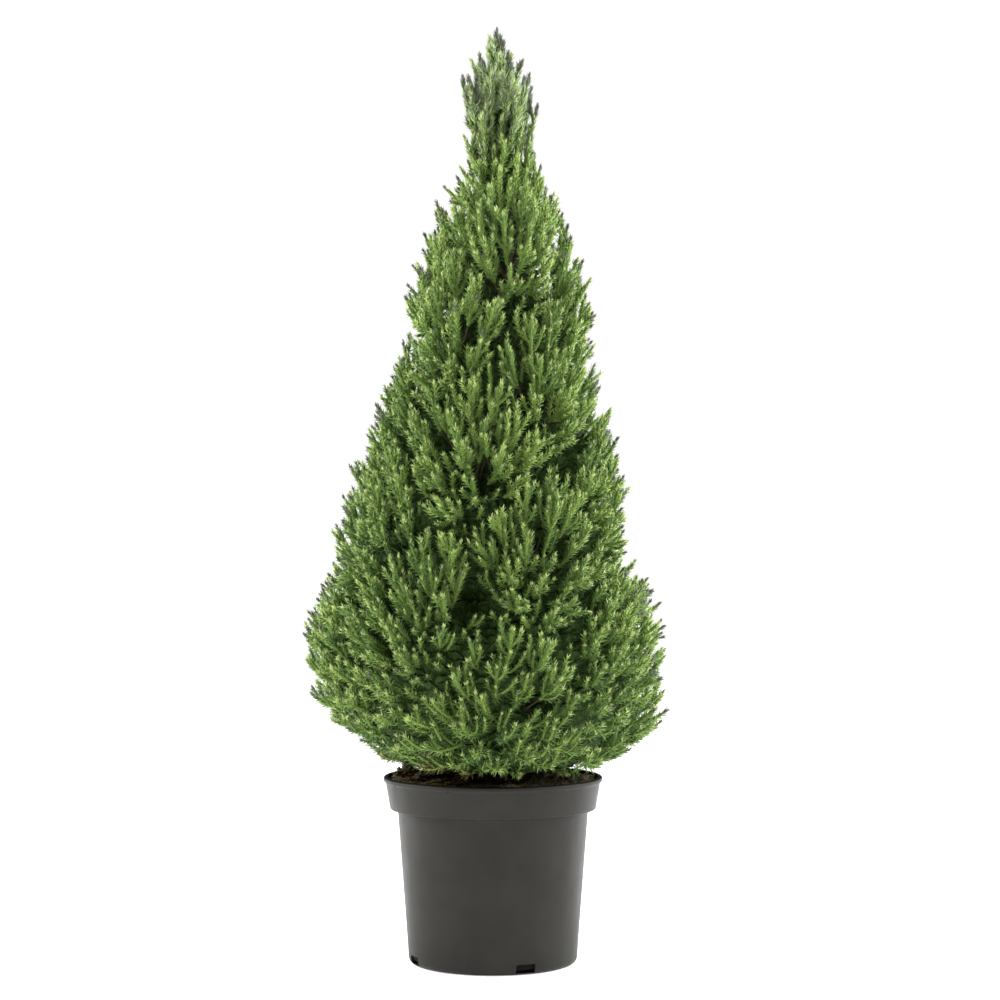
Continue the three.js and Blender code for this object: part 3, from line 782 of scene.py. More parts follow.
def needle_material(name, dark, mean, light):
    n = Nodes(bpy.data.materials.new(name))
    island = n.add("ShaderNodeNewGeometry").outputs["Random Per Island"]
    colour = n.ramp(island, [(0.0, dark), (0.5, mean), (1.0, light)])
    roughness = n.map(n.noise(900.0), (0.3, 0.7), (0.42, 0.62))
    grain = n.noise(1600.0, detail=2.0)
    return n.surface(colour, roughness, grain, specular=0.35, strength=0.25, distance=0.0004)


def bark_material(name, dark, light, scale):
    n = Nodes(bpy.data.materials.new(name))
    flakes = n.noise(scale, detail=6.0, roughness=0.65, stretch=(1.0, 1.0, FLAKE_STRETCH))
    colour = n.ramp(flakes, [(0.3, dark), (0.7, light)])
    roughness = n.map(flakes, (0.3, 0.7), (0.95, 0.7))
    return n.surface(colour, roughness, flakes, specular=0.25, strength=0.6, distance=0.0012)


def inner_material(name, dark, mean, light):
    n = Nodes(bpy.data.materials.new(name))
    patches = n.noise(420.0, detail=6.0, roughness=0.8, stretch=(1.0, 1.0, 0.4))
    colour = n.ramp(patches, [(0.3, dark), (0.5, mean), (0.7, light)])
    roughness = n.map(patches, (0.3, 0.7), (0.9, 0.75))
    grain = n.noise(700.0, detail=4.0)
    return n.surface(colour, roughness, grain, specular=0.15, strength=0.5, distance=0.001)


def plastic_material(name, dark, light, specular, smoothest, roughest):
    n = Nodes(bpy.data.materials.new(name))
    patches = n.noise(18.0, detail=4.0, roughness=0.6)
    colour = n.ramp(patches, [(0.3, dark), (0.7, light)])
    scuffs = n.noise(60.0, detail=6.0, roughness=0.7, stretch=(1.0, 1.0, 0.25))
    roughness = n.map(scuffs, (0.3, 0.75), (smoothest, roughest))
    grain = n.noise(1400.0, detail=2.0)
    return n.surface(colour, roughness, grain, specular=specular, strength=0.12, distance=0.0003)


def soil_material(name, dark, mean, light):
    n = Nodes(bpy.data.materials.new(name))
    grains = n.noise(420.0, detail=8.0, roughness=0.75)
    colour = n.ramp(grains, [(0.3, dark), (0.55, mean), (0.75, light)])
    roughness = n.map(grains, (0.3, 0.7), (1.0, 0.85))
    return n.surface(colour, roughness, grains, specular=0.2, strength=0.9, distance=0.003)


# The darker tones go to deeper shoots: partly older growth, partly painted shade in the crown's depths
TONES = {
    "pale": srgb(182, 204, 124),
    "fresh": srgb(158, 186, 96),
    "green": srgb(134, 164, 82),
    "deep": srgb(112, 144, 72),
    "old": srgb(95, 126, 66),
    "grey": srgb(166, 182, 140),
    "dusk": srgb(106, 114, 94),
    "dry": srgb(122, 106, 62),
}
DARKEST, LIGHTEST = 0.86, 1.16  # how far single needles stray from their tone
needle_materials = {
    tone: needle_material("needles_" + tone, shade(colour, DARKEST), colour, shade(colour, LIGHTEST))
    for tone, colour in TONES.items()
}
trunk_bark = bark_material("bark_trunk", srgb(58, 46, 36), srgb(126, 104, 82), scale=260.0)
twig_bark = bark_material("bark_twigs", srgb(46, 44, 32), srgb(86, 82, 56), scale=700.0)
shoot_bark = bark_material("bark_green_shoots", srgb(84, 112, 46), srgb(128, 152, 74), scale=900.0)
dark_scales = bark_material("bud_scales_dark", srgb(74, 76, 66), srgb(110, 110, 94), scale=900.0)
pale_scales = bark_material("bud_scales_pale", srgb(140, 156, 82), srgb(188, 198, 124), scale=900.0)
# The inner growth's dark greens are painted shade in the crown's depths, on a body that stands for dense
# inner twigs and needles
inner_painted_shade_look = inner_material("inner_growth", srgb(26, 38, 18), srgb(50, 70, 32), srgb(88, 110, 54))
PLASTIC = {"specular": 0.14, "smoothest": 0.38, "roughest": 0.52}
# Nearly black, matt plastic for the lip's upward faces and the pot's inside faces: painted shade, where the
# foliage and the rim shade them
PAINTED_SHADE_PLASTIC = {"specular": 0.05, "smoothest": 0.8, "roughest": 0.95}
plastic_look = plastic_material("pot_plastic", srgb(36, 35, 32), srgb(44, 43, 39), **PLASTIC)
painted_shade_plastic_look = plastic_material("pot_plastic_painted_shade", srgb(17, 17, 15), srgb(28, 28, 25), **PAINTED_SHADE_PLASTIC)
soil_look = soil_material("potting_soil", srgb(62, 58, 51), srgb(108, 100, 86), srgb(152, 140, 118))
# Nearly black soil for the faces low in the pot, seen through the drain holes: painted shade
low_soil_painted_shade_look = soil_material("soil_painted_shade", srgb(10, 9, 8), srgb(20, 18, 15), srgb(32, 28, 23))
litter_look = bark_material("bark_chips", srgb(40, 30, 22), srgb(104, 80, 56), scale=500.0)
dead_needle_look = bark_material("dead_needles", srgb(78, 58, 30), srgb(140, 112, 58), scale=500.0)

# ---- Growing the shoots

rng = np.random.default_rng(SHORTENED["seed"])
leading = leaders()
LEADER_COUNT = len(leading["tip"])
cut = (rng.random(LEADER_COUNT) < SHORTENED["share"]) * rng.uniform(0, SHORTENED["most"], LEADER_COUNT)
off_centre = crown_place(leading["tip"])["radius"]
cut = np.where(leading["site"] == TERMINAL, look_up(SPIRE_DROP, off_centre), cut)
leading["parent"] = np.arange(LEADER_COUNT)
leading["tip"] = leading["tip"] - leading["direction"] * cut[:, None]
leading_curves = shoot_curves("leading", leading["root"], leading["foot"], leading["tip"])
fanned = fans(leading, leading_curves)
fanned_curves = shoot_curves("fan", fanned["root"], fanned["bend"], fanned["tip"])
filling = infill(leading, leading_curves, fanned["held"])
filling_curves = shoot_curves("infill", filling["root"], filling["foot"], filling["tip"])

leading_zone = rng.uniform(*LEADER_ZONE["length"], LEADER_COUNT)
fanned_zone = np.linalg.norm(np.diff(fanned_curves, axis=1), axis=2).sum(1) * FAN_ZONE["share"]
filling_zone = rng.uniform(*INFILL_ZONE["length"], len(filling["tip"]))
GROWTH = (
    (leading, leading_curves, leading_zone, LEADER_ZONE["spacing"]),
    (fanned, fanned_curves, fanned_zone, FAN_ZONE["spacing"]),
    (filling, filling_curves, filling_zone, INFILL_ZONE["spacing"]),
)

FOLIAGE_NODES = [name for name in frame["nodes"] if name.startswith("foliage")]
BOUGH_NODES = [name for name in frame["nodes"] if name.startswith("bough")]

# ---- Needles


def on_spire(z, factor=None):
    """0 below the spire and 1 in it, or a factor that grows from 1 to its value there."""
    share = np.clip((z - SPIRE["foot"]) / (SPIRE["full"] - SPIRE["foot"]), 0, 1)
    return share if factor is None else 1 + (SPIRE[factor] - 1) * share


def needle_places(curves, zone, spacing):
    """Needles along curves: place, tangent, share of the needled zone, way to the tip, turn, and curve."""
    parts = []
    for curve, own_zone in zip(curves, zone):
        along = path_lengths(curve)
        own_zone = min(own_zone, along[-1] * LONGEST_ZONE)
        count = max(NEEDLE["least"], int(own_zone / (spacing * on_spire(curve[-1, 2], "spacing"))))
        share = (np.arange(count) + 0.5) / count
        at = along[-1] - own_zone * (1 - share)
        position, ahead, behind = (path_points(along, curve, at + step) for step in (0.0, 1.0, -1.0))
        turn = np.arange(count) * GOLDEN_ANGLE + rng.uniform(0, TAU)
        parts.append((position, unit(ahead - behind), share, own_zone * (1 - share), turn))
    owner = np.repeat(np.arange(len(parts)), [len(part[2]) for part in parts])
    return [np.concatenate(column) for column in zip(*parts)] + [owner]


def needle_corners(foot, tangent, share, to_tip, turn, z):
    """The corners of slim closed needles: foot, left, right and tip, with a ridge between left and right."""
    count = len(share)
    angle = look_up(NEEDLE_ANGLES, share) * look_up(NEEDLE_SPREAD, z) * on_spire(z, "angle")
    angle = np.radians(angle + rng.normal(0, NEEDLE["angle_jitter"], count))[:, None]
    out = around(tangent, turn + rng.normal(0, NEEDLE["turn_jitter"], count))
    direction = unit(tangent * np.cos(angle) + out * np.sin(angle))
    direction = unit(direction + upwards(np.clip(-direction[:, 2], 0, 1) * NEEDLE["lift"]))
    length = np.interp(to_tip, [0, NEEDLE["full_length_from"]], [NEEDLE["tip_length"], NEEDLE["length"]])
    length = length * on_spire(z, "length") * look_up(NEEDLE_GROWTH, z)
    length = length * rng.uniform(*NEEDLE["length_jitter"], count)
    side = unit(np.cross(direction, tangent) + rng.normal(0, NEEDLE["roll_jitter"], (count, 3)))
    ridge = unit(np.cross(side, direction))
    ridge = ridge * np.sign((ridge * tangent).sum(-1, keepdims=True) + TINY)
    width = NEEDLE["width"] * rng.uniform(*NEEDLE["width_jitter"], count) * on_spire(z, "width")
    middle = foot + direction * (length * NEEDLE["broadest"])[:, None] + ridge * NEEDLE["thickness"]
    half = side * (width / 2)[:, None]
    return np.stack([foot, middle + half, middle - half, foot + direction * length[:, None]], 1)


def tone_of(shoots):
    """Each shoot's tone, by how deep its tip lies, its height, its spray and chance."""
    place = crown_place(shoots["tip"])
    depth = place["edge"]["radius"] - place["radius"]
    # Deeper shoots score darker tones: partly older growth, partly painted shade
    chance = rng.normal(0, TONE["by_shoot"], len(depth)) + spray_tone[shoots["parent"]]
    score = TONE["middle"] + depth * TONE["by_depth"] + chance - look_up(TONE_LIFT, place["root"])
    return np.clip(np.round(score), 0, OLDEST).astype(int)


def dusky_ends(tip):
    """Which shoots have dull ends: most of those on the crown's left and right, and many of the spire's."""
    place = crown_place(tip)
    across = np.abs(np.cos(place["azimuth"]))
    chance = np.where(across > DUSKY["side"], DUSKY["side_share"], DUSKY["share"])
    on_top = np.where(across > DUSKY["spire_side"], DUSKY["spire_share"], DUSKY["share"])
    chance = np.where(tip[:, 2] > SPIRE["full"], on_top, chance)
    return ends_rng.random(len(tip)) < chance * (beyond_crown(tip, place) > DUSKY["near_outline"])


def dry_shoots(tip):
    """Which shoots have lost their green: some low on the crown's front left."""
    turn = np.degrees(crown_place(tip)["azimuth"]) % 360
    low = (tip[:, 2] < DRY["below"]) & (turn > DRY["azimuth"][0]) & (turn < DRY["azimuth"][1])
    return low & (ends_rng.random(len(tip)) < DRY["shoots"])


def needled(shoots, curves, zone, spacing):
    """The needles' corners and tones on one kind of shoot, and which of the shoots have dull ends."""
    *places, owner = needle_places(curves, zone, spacing)
    share, to_tip = places[2:4]
    z = shoots["tip"][owner, 2]
    corners = needle_corners(*places, z)

    def chosen(chance):
        return rng.random(len(share)) < chance

    tone = tone_of(shoots)[owner] + (share < AGEING["foot"])
    tone = np.clip(tone + (share < AGEING["mixed"]) * chosen(AGEING["chance"]), 0, OLDEST)
    pale = (to_tip < PALE_TIPS["zone"]) & (tone < OLDEST) & chosen(PALE_TIPS["share"])
    grey = chosen(GREY_SHARE * on_spire(z))
    dull = dusky_ends(shoots["tip"])
    dull_zone = DUSKY["zone"] * on_spire(z, "dull") * rng.uniform(*DUSKY["zone_jitter"], len(share))
    labels = np.array(TONE_ORDER, object)[tone]
    labels[grey] = "grey"
    labels[pale] = "pale"
    # Dull ends: partly dark buds, partly painted shade at the crown's outline
    labels[dull[owner] & (to_tip < dull_zone)] = "dusk"
    labels[dry_shoots(shoots["tip"])[owner] & chosen(DRY["needles"])] = "dry"
    return corners, labels, dull


NEEDLE_FACES = [[0, 1, 2], [3, 2, 1], [0, 3, 1], [0, 2, 3]]
ends_rng = np.random.default_rng(TONE["seed"])
spray_tone = ends_rng.normal(0, TONE["by_spray"], LEADER_COUNT)
corners, labels, dull = (np.concatenate(column) for column in zip(*[needled(*kind) for kind in GROWTH]))
for tone, material in needle_materials.items():
    own = corners[labels == tone]
    pieces = math.ceil(len(own) / MOST_NEEDLES)
    for k, rows in enumerate(np.array_split(np.argsort(own[:, 0, 2]), pieces)):
        points = own[rows].reshape(-1, 3)
        faces = repeated(NEEDLE_FACES, 4, len(rows))
        mesh_piece(f"needles_{tone}_{k + 1}", points, faces, material, "foliage", FOLIAGE_NODES, smooth=True)

# ---- Twigs, green shoots and buds

TO_ROOT = 400.0  # further back than any shoot's root
BARK_OVERLAP = 3.0
STEM_POINTS = 12
STEM_SIDES = 6
TWIG_POINTS = {"leading": 8, "filling": 5}
GREEN_POINTS = {"leading": 9, "filling": 5}
# Radii where a tube begins and where it ends, and its number of sides
TWIG_TUBES = {"leading": (1.5, 1.2, 4), "filling": (0.9, 0.8, 3)}
GREEN_TUBES = {"leading": (2.3, 1.9, 5), "fan": (1.6, 2.0, 4), "filling": (2.0, 1.8, 4)}
GREEN_TIP_RADIUS = 0.4


def twig_mesh():
    """Brown bark: the stems, and the leading and filling shoots as far as their needles."""
    bare = {"leading": (leading_curves, leading_zone), "filling": (filling_curves, filling_zone)}
    twigs = []
    for kind, (curves, zone) in bare.items():
        twig = stretch(curves, np.full(len(zone), TO_ROOT), zone - BARK_OVERLAP, TWIG_POINTS[kind])
        twigs.append(tapered_tubes(twig, *TWIG_TUBES[kind]))
    shares = np.linspace(0, 1, STEM_POINTS)
    stems = np.stack([stem_point(np.full(STEM_POINTS, site), shares) for site in range(MASS_COUNT)])
    foot = np.where(np.arange(MASS_COUNT) == TERMINAL, TIP_STEM["radius"], bough_radius * BOUGH["taper"])
    radii = foot[:, None] * np.linspace(1, STEM["taper"], STEM_POINTS)[None]
    return joined([*twigs, tubes(stems, radii, STEM_SIDES)])


def green_mesh():
    """Green bark, where needles stand."""
    needled_parts = {
        "leading": stretch(leading_curves, leading_zone, leading_zone * 0, GREEN_POINTS["leading"]),
        "fan": fanned_curves[:, ::2],
        "filling": stretch(filling_curves, filling_zone, filling_zone * 0, GREEN_POINTS["filling"]),
    }
    return joined([
        tapered_tubes(curves, *GREEN_TUBES[kind], end=GREEN_TIP_RADIUS)
        for kind, curves in needled_parts.items()
    ])


def bud_mesh(tips, heading):
    """Pointed buds of two fans each, sunk a little into the ends of their shoots."""
    sides = BUD["sides"]
    size = rng.uniform(*BUD["jitter"], len(tips))[:, None, None]
    ring = around(heading[:, None], turns(sides))
    middle = tips[:, None] + ring * BUD["radius"] * size + heading[:, None] * size * BUD["broadest"]
    ends = [(tips - heading * BUD["sunk"])[:, None], (tips + heading * BUD["length"] * size[:, 0])[:, None]]
    points = np.concatenate([ends[0], middle, ends[1]], 1)
    i = np.arange(sides)
    on = (i + 1) % sides
    inner, outer = np.stack([i * 0, 1 + on, 1 + i], -1), np.stack([i * 0 + sides + 1, 1 + i, 1 + on], -1)
    return points.reshape(-1, 3), repeated(np.concatenate([inner, outer]), sides + 2, len(tips))


mesh_piece("twigs", *twig_mesh(), twig_bark, "bark", FOLIAGE_NODES, smooth=True)
mesh_piece("green_shoots", *green_mesh(), shoot_bark, "foliage", FOLIAGE_NODES, smooth=True)

shoot_ends = np.concatenate([curves[:, -1] for _, curves, _, _ in GROWTH])
end_headings = unit(np.concatenate([curves[:, -1] - curves[:, -2] for _, curves, _, _ in GROWTH]))
# Dark buds on the dull ends, part of their painted shade, and on a few other shoots at random
dark_buds = dull | (rng.random(len(dull)) < BUD["dark_share"])
for name, chosen, scales in (("buds_dark", dark_buds, dark_scales), ("buds_pale", ~dark_buds, pale_scales)):
    buds = bud_mesh(shoot_ends[chosen], end_headings[chosen])
    mesh_piece(name, *buds, scales, "bark", FOLIAGE_NODES, smooth=True)

# ---- The inner growth, coloured dark as painted shade between the shoots

INNER = {
    "rows": 110, "columns": 76, "below_cores": 2.0, "deepest": 0.5, "lowest": 216.0, "highest": 850.0,
    "foot": (20.0, 214.0), "top": 2.0, "gap_depth": 30.0, "full_from": 60.0, "lump_size": 26.0, "lump": 9.0,
    "lump_share": 0.3, "rough": 2.5, "seed": 11,
}
TUFT = {"length": (2, 13), "full_from": 90.0, "least": 0.1, "rise": 0.7, "lean": 3}
INNER_SINK = [(235, 18.0), (330, 0.0)]  # how much deeper it lies low down
TUFT_REACH = [(250, 0.35), (330, 1.0)]
SPIRE_CORE = [(14, 880), (11, 905), (10, 930), (11, 952), (6, 972), (2, 984)]


def inner_profile():
    """Radius and height of the surface under the foliage, at evenly spaced rows."""
    sunk = CORE_DEPTH + INNER["below_cores"] + look_up(INNER_SINK, surface["z"])
    share = np.minimum(sunk, INNER["deepest"] * surface["radius"]) / np.maximum(surface["radius"], 1)
    radius = surface["radius"] * (1 - share)
    z = surface["root"] + steepness(surface["root"]) * radius
    usable = (z < INNER["highest"]) & (z > INNER["lowest"])
    profile = np.array([INNER["foot"], *zip(radius[usable], z[usable]), *SPIRE_CORE])
    along = path_lengths(profile)
    return path_points(along, profile, np.linspace(0, along[-1], INNER["rows"])).T


def inner_growth():
    """What the shoots stand out of: one closed jagged body, with a tuft raised on each of its quads."""
    rows, columns = INNER["rows"], INNER["columns"]
    radius, z = inner_profile()
    angle = TAU * (np.arange(columns)[None] + 0.5 * (np.arange(rows) % 2)[:, None]) / columns
    pulled_in = INNER["gap_depth"] * bareness(angle, radius[:, None], z[:, None])
    pulled_in = pulled_in * np.clip(radius / INNER["full_from"], 0, 1)[:, None]
    out = outwards(angle)
    points = axis_point(z)[:, None] + out * radius[:, None, None] - out * pulled_in[..., None]
    local = np.random.default_rng(INNER["seed"])
    rough = local.uniform(-INNER["rough"], INNER["rough"], (rows, columns))
    rough = rough * np.minimum(1, radius / INNER["full_from"])[:, None]
    lumps = [noise.noise(Vector(point / INNER["lump_size"])) for point in points.reshape(-1, 3)]
    lump_height = np.minimum(INNER["lump"], radius * INNER["lump_share"])[:, None]
    points += out * (np.reshape(lumps, (rows, columns)) * lump_height + rough)[..., None]
    flat = points.reshape(-1, 3)
    quads = ring_quads(rows, columns)
    centre = flat[quads].mean(1)
    off_axis = (centre - axis_point(centre[:, 2])) * [1, 1, 0]
    fade = np.clip(np.linalg.norm(off_axis, axis=1) / TUFT["full_from"], TUFT["least"], 1)
    reach = local.uniform(*TUFT["length"], len(quads)) * fade * look_up(TUFT_REACH, centre[:, 2])
    lean = local.normal(0, TUFT["lean"], (2, len(quads)))
    peak = centre + unit(off_axis) * reach[:, None] + np.stack([*lean, reach * TUFT["rise"]], -1)
    index = len(flat) + np.arange(len(quads))
    tufts = [np.stack([quads[:, k], quads[:, (k + 1) % 4], index], -1) for k in range(4)]
    faces = np.concatenate([*tufts, *end_fans(rows, columns, len(flat) + len(quads))])
    return np.concatenate([flat, peak, axis_point([z[0], z[-1] + INNER["top"]])]), faces


mesh_piece("inner_growth", *inner_growth(), inner_painted_shade_look, "foliage", FOLIAGE_NODES)

# ---- Trunk and boughs with bark

TRUNK_MESH = {"sides": 26, "flare_rings": 26, "flare_top": 240.0, "rings": 120, "relief": 0.7, "grain": 0.22}
BOUGH_MESH = {"sides": 10, "rings": 16, "sunk": 2.0, "relief": 0.35, "grain": 0.35}
FLAKE_NOISE = (0.8, 2.2, 4)  # how rough it is, how much finer each octave is, and how many there are


def bark_relief(points, centres, size):
    """Moves points out and in from their centres by flaky noise."""
    scale = np.array([1, 1, FLAKE_STRETCH]) * size["grain"]
    flakes = [noise.fractal(Vector(point * scale), *FLAKE_NOISE) for point in points.reshape(-1, 3)]
    height = np.reshape(flakes, points.shape[:-1]) * size["relief"]
    return points + unit(points - centres) * height[..., None]


def trunk_mesh():
    low = np.linspace(TRUNK_FOOT, TRUNK_MESH["flare_top"], TRUNK_MESH["flare_rings"])[:-1]
    z = np.concatenate([low, np.linspace(TRUNK_MESH["flare_top"], TRUNK_TIP, TRUNK_MESH["rings"])])
    angle = turns(TRUNK_MESH["sides"])
    flare = ROOT_FLARE["share"] * np.maximum(0, 1 - (z - TRUNK_FOOT) / ROOT_FLARE["height"])
    lobes = np.cos(ROOT_FLARE["lobes"] * angle)[None]
    radius = look_up(TRUNK_RADII, z)[:, None] * (1 + flare[:, None] * lobes)
    centres = axis_point(z)[:, None].repeat(len(angle), 1)
    points = bark_relief(centres + outwards(angle)[None] * radius[..., None], centres, TRUNK_MESH)
    points[0, :, 2] = TRUNK_FOOT
    return closed_rings(points, axis_point([TRUNK_FOOT, TRUNK_TIP]))


def bough_mesh():
    rings, sides = BOUGH_MESH["rings"], BOUGH_MESH["sides"]
    shares = np.linspace(0, 1, rings)[None]
    sites = np.arange(BOUGH_COUNT)[:, None].repeat(rings, 1)
    edge = edges_of(sites)
    start = np.maximum(0, look_up(TRUNK_RADII, edge["root"]) - BOUGH_MESH["sunk"]) / edge["radius"]
    curves = on_bough_line(edge, site_azimuth[sites], between(start, BOUGH["end"], shares))
    radii = bough_radius[sites] * (1 + (BOUGH["taper"] - 1) * shares)
    vertices, faces = tubes(curves, radii, sides)
    centres = curves[:, :, None].repeat(sides, 2).reshape(-1, 3)
    return bark_relief(vertices, centres, BOUGH_MESH), faces


mesh_piece("trunk_bark", *trunk_mesh(), trunk_bark, "bark", ["trunk"], smooth=True)
mesh_piece("boughs_bark", *bough_mesh(), trunk_bark, "bark", BOUGH_NODES, smooth=True)

# ---- The pot

POT_COLUMNS = 192
CORNER_STEPS = 8
FILLET = {"reach": 1.1, "side_parts": 2.2, "steps": 3}
SHARP_FROM = 38  # degrees between faces
LIP_TOP_SLOPE = 0.3
BAND_FOOT = POT_HEIGHT - BAND["height"]
LIP_FOOT = POT_HEIGHT - LIP["height"]
UNDER_LIP = (RIM_RADIUS - LIP["overhang"], LIP_FOOT - LIP["edge"])


def wall_radius(z):
    return WALL["foot_radius"] + (WALL["top_radius"] - WALL["foot_radius"]) * z / BAND_FOOT


def rounded(profile):
    """A profile whose inner corners are cut by short curves."""
    made = [profile[0]]
    for before, here, after in zip(*(np.array(profile[k:], float) for k in range(3))):
        back, on = before - here, after - here
        long_back, long_on = np.linalg.norm(back), np.linalg.norm(on)
        reach = min(FILLET["reach"], min(long_back, long_on) / FILLET["side_parts"])
        start, end = here + back / long_back * reach, here + on / long_on * reach
        for t in np.linspace(0, 1, FILLET["steps"]):
            made.append(start * (1 - t) ** 2 + 2 * here * t * (1 - t) + end * t**2)
    return [*made, profile[-1]]


def pot_outside():
    turn = np.radians(np.linspace(0, 90, CORNER_STEPS))
    radius = wall_radius(CORNER_RADIUS) - CORNER_RADIUS * (1 - np.sin(turn))
    corner = list(zip(radius, CORNER_RADIUS * (1 - np.cos(turn))))
    upper = [
        corner[-1],
        (WALL["top_radius"], BAND_FOOT),
        (BAND["foot_radius"], BAND_FOOT + BAND["step"]),
        UNDER_LIP,
        (RIM_RADIUS, LIP_FOOT),
        (RIM_RADIUS, POT_HEIGHT - LIP["edge"]),
        (RIM_RADIUS - LIP["edge"], POT_HEIGHT),
        (RIM_RADIUS - LIP["overhang"] - WALL["thickness"], POT_HEIGHT),
    ]
    return [*corner[:-1], *rounded(upper)]


def pot_inside(clearance):
    offset = WALL["thickness"] + clearance
    return [
        (wall_radius(CORNER_RADIUS) - CORNER_RADIUS, FLOOR_THICKNESS + clearance),
        (wall_radius(CORNER_RADIUS) - offset, CORNER_RADIUS),
        (WALL["top_radius"] - offset, BAND_FOOT + clearance),
        (BAND["foot_radius"] - offset, BAND_FOOT + BAND["step"] + clearance),
        (UNDER_LIP[0] - offset, UNDER_LIP[1]),
    ]


def turned(profile, columns):
    """A profile of (radius, height) points off the axis, turned round it and closed at both ends."""
    radius, z = np.array(profile, float).T
    points = outwards(turns(columns))[None] * radius[:, None, None] + upwards(z)[:, None]
    return closed_rings(points, upwards(z[[0, -1]]))


def drain_cutter(angle):
    """A box that cuts one hole through the foot of the wall."""
    half = np.array([DRAIN["reach"], DRAIN["width"], DRAIN["height"]]) * MM / 2
    corners = [(x, y, z) for x in (-1, 1) for y in (-1, 1) for z in (-1, 1)]
    faces = [(0, 1, 3, 2), (4, 6, 7, 5), (0, 4, 5, 1), (2, 3, 7, 6), (0, 2, 6, 4), (1, 5, 7, 3)]
    mesh = bpy.data.meshes.new("drain_cutter")
    mesh.from_pydata([tuple(half * corner) for corner in corners], [], faces)
    made = bpy.data.objects.new("drain_cutter", mesh)
    middle = upwards(DRAIN["sill"] + DRAIN["height"] / 2)
    made.location = (outwards(angle) * WALL["foot_radius"] + middle) * MM
    made.rotation_euler = (0, 0, angle)
    bpy.context.scene.collection.objects.link(made)
    return made


def pot_shell():
    body = turned([*pot_outside(), *pot_inside(0)[::-1]], POT_COLUMNS)
    shell = mesh_piece("pot_shell", *body, plastic_look, "plastic", ["pot"], smooth=True)
    # The lip's upward faces and all inside faces take the nearly black plastic: painted shade
    shell.data.materials.append(painted_shade_plastic_look)
    for face in shell.data.polygons:
        inwards = face.normal.x * face.center.x + face.normal.y * face.center.y < 0
        on_lip = face.center.z > (LIP_FOOT - LIP["edge"] / 2) * MM
        face.material_index = int(inwards or (on_lip and face.normal.z > LIP_TOP_SLOPE))
    cutters = [drain_cutter(math.radians(DRAIN["first_angle"]) + turn) for turn in turns(DRAIN["count"])]
    for cutter in cutters:
        cut = shell.modifiers.new("drain", "BOOLEAN")
        cut.object = cutter
        cut.solver = "EXACT"
    mesh = bpy.data.meshes.new_from_object(shell.evaluated_get(bpy.context.evaluated_depsgraph_get()))
    shell.modifiers.clear()
    shell.data = mesh
    mesh.set_sharp_from_angle(angle=math.radians(SHARP_FROM))
    for cutter in cutters:
        bpy.data.objects.remove(cutter)


pot_shell()

# ---- The potting mix and what lies on it

SOIL_HEAPS = [  # azimuth, distance from the middle, width and height of each larger heap
    (157, 103, 12, 14.0), (172, 104, 10, 8.0), (128, 92, 22, 4.0), (205, 88, 24, 3.0), (20, 92, 20, 3.0),
    (-60, 84, 26, 2.5), (-110, 78, 24, 3.0),
]
SOIL_MESH = {"rings": 84, "columns": 190, "innermost": 2.0, "off_wall": 0.5}
SOIL_WAVES = {"broad": (13, 17), "fine": (7, 9), "fine_share": 0.6}
SOIL_GRAIN = {
    "coarse": 3.2, "coarse_size": 7, "coarse_slice": 3.0, "fine": 1.5, "fine_size": 5, "fine_slice": 8.0,
    "fine_top": 0.8, "fine_depth": 2, "at_trunk": 0.25,
}
SOIL_NOISE = (0.7, 2.1, 4)  # the same three values as in FLAKE_NOISE
PAINTED_SHADE_BELOW = 150.0
CRUMB_AXES = [[1, 0, 0], [0, 1, 0], [-1, 0, 0], [0, -1, 0], [0, 0, 0.7], [0, 0, -0.7]]
CRUMB_FACES = [[i, (i + 1) % 4, 4] for i in range(4)] + [[(i + 1) % 4, i, 5] for i in range(4)]
CRUMB = {"stretch": (0.6, 1.3), "jitter": 0.2, "rise": 0.3, "furthest": 111}
LITTER = {
    "radii": [0.3, 1.0, 0.3], "radius_jitter": (0.7, 1.3), "distance": (30, 110), "slope": (-0.15, 0.3),
    "rise": (0.8, 2.6), "bend": 0.5, "sides": 4,
}
ALL_ROUND = (0, 360)
LEFT, WIDE_LEFT = (150, 260), (130, 280)  # sectors of the soil


def soil_height(x, y):
    """The height of the soil, and how far each point is out of the flat round the trunk, from 0 to 1."""
    fade = np.clip((np.hypot(x, y) - TRUNK_SEAT_RADIUS) / TRUNK_SEAT_RADIUS, 0, 1)
    fade = fade * fade * (3 - 2 * fade)
    (long_x, long_y), (short_x, short_y) = SOIL_WAVES["broad"], SOIL_WAVES["fine"]
    broad = np.sin(x / long_x + 1) * np.cos(y / long_y)
    waves = broad + SOIL_WAVES["fine_share"] * np.sin(x / short_x - y / short_y)
    height = SOIL_LEVEL + fade * SOIL["relief"] * waves
    for azimuth, distance, width, rise in SOIL_HEAPS:
        middle = outwards(math.radians(azimuth)) * distance
        height = height + rise * np.exp(-((x - middle[0]) ** 2 + (y - middle[1]) ** 2) / width**2)
    return height, fade


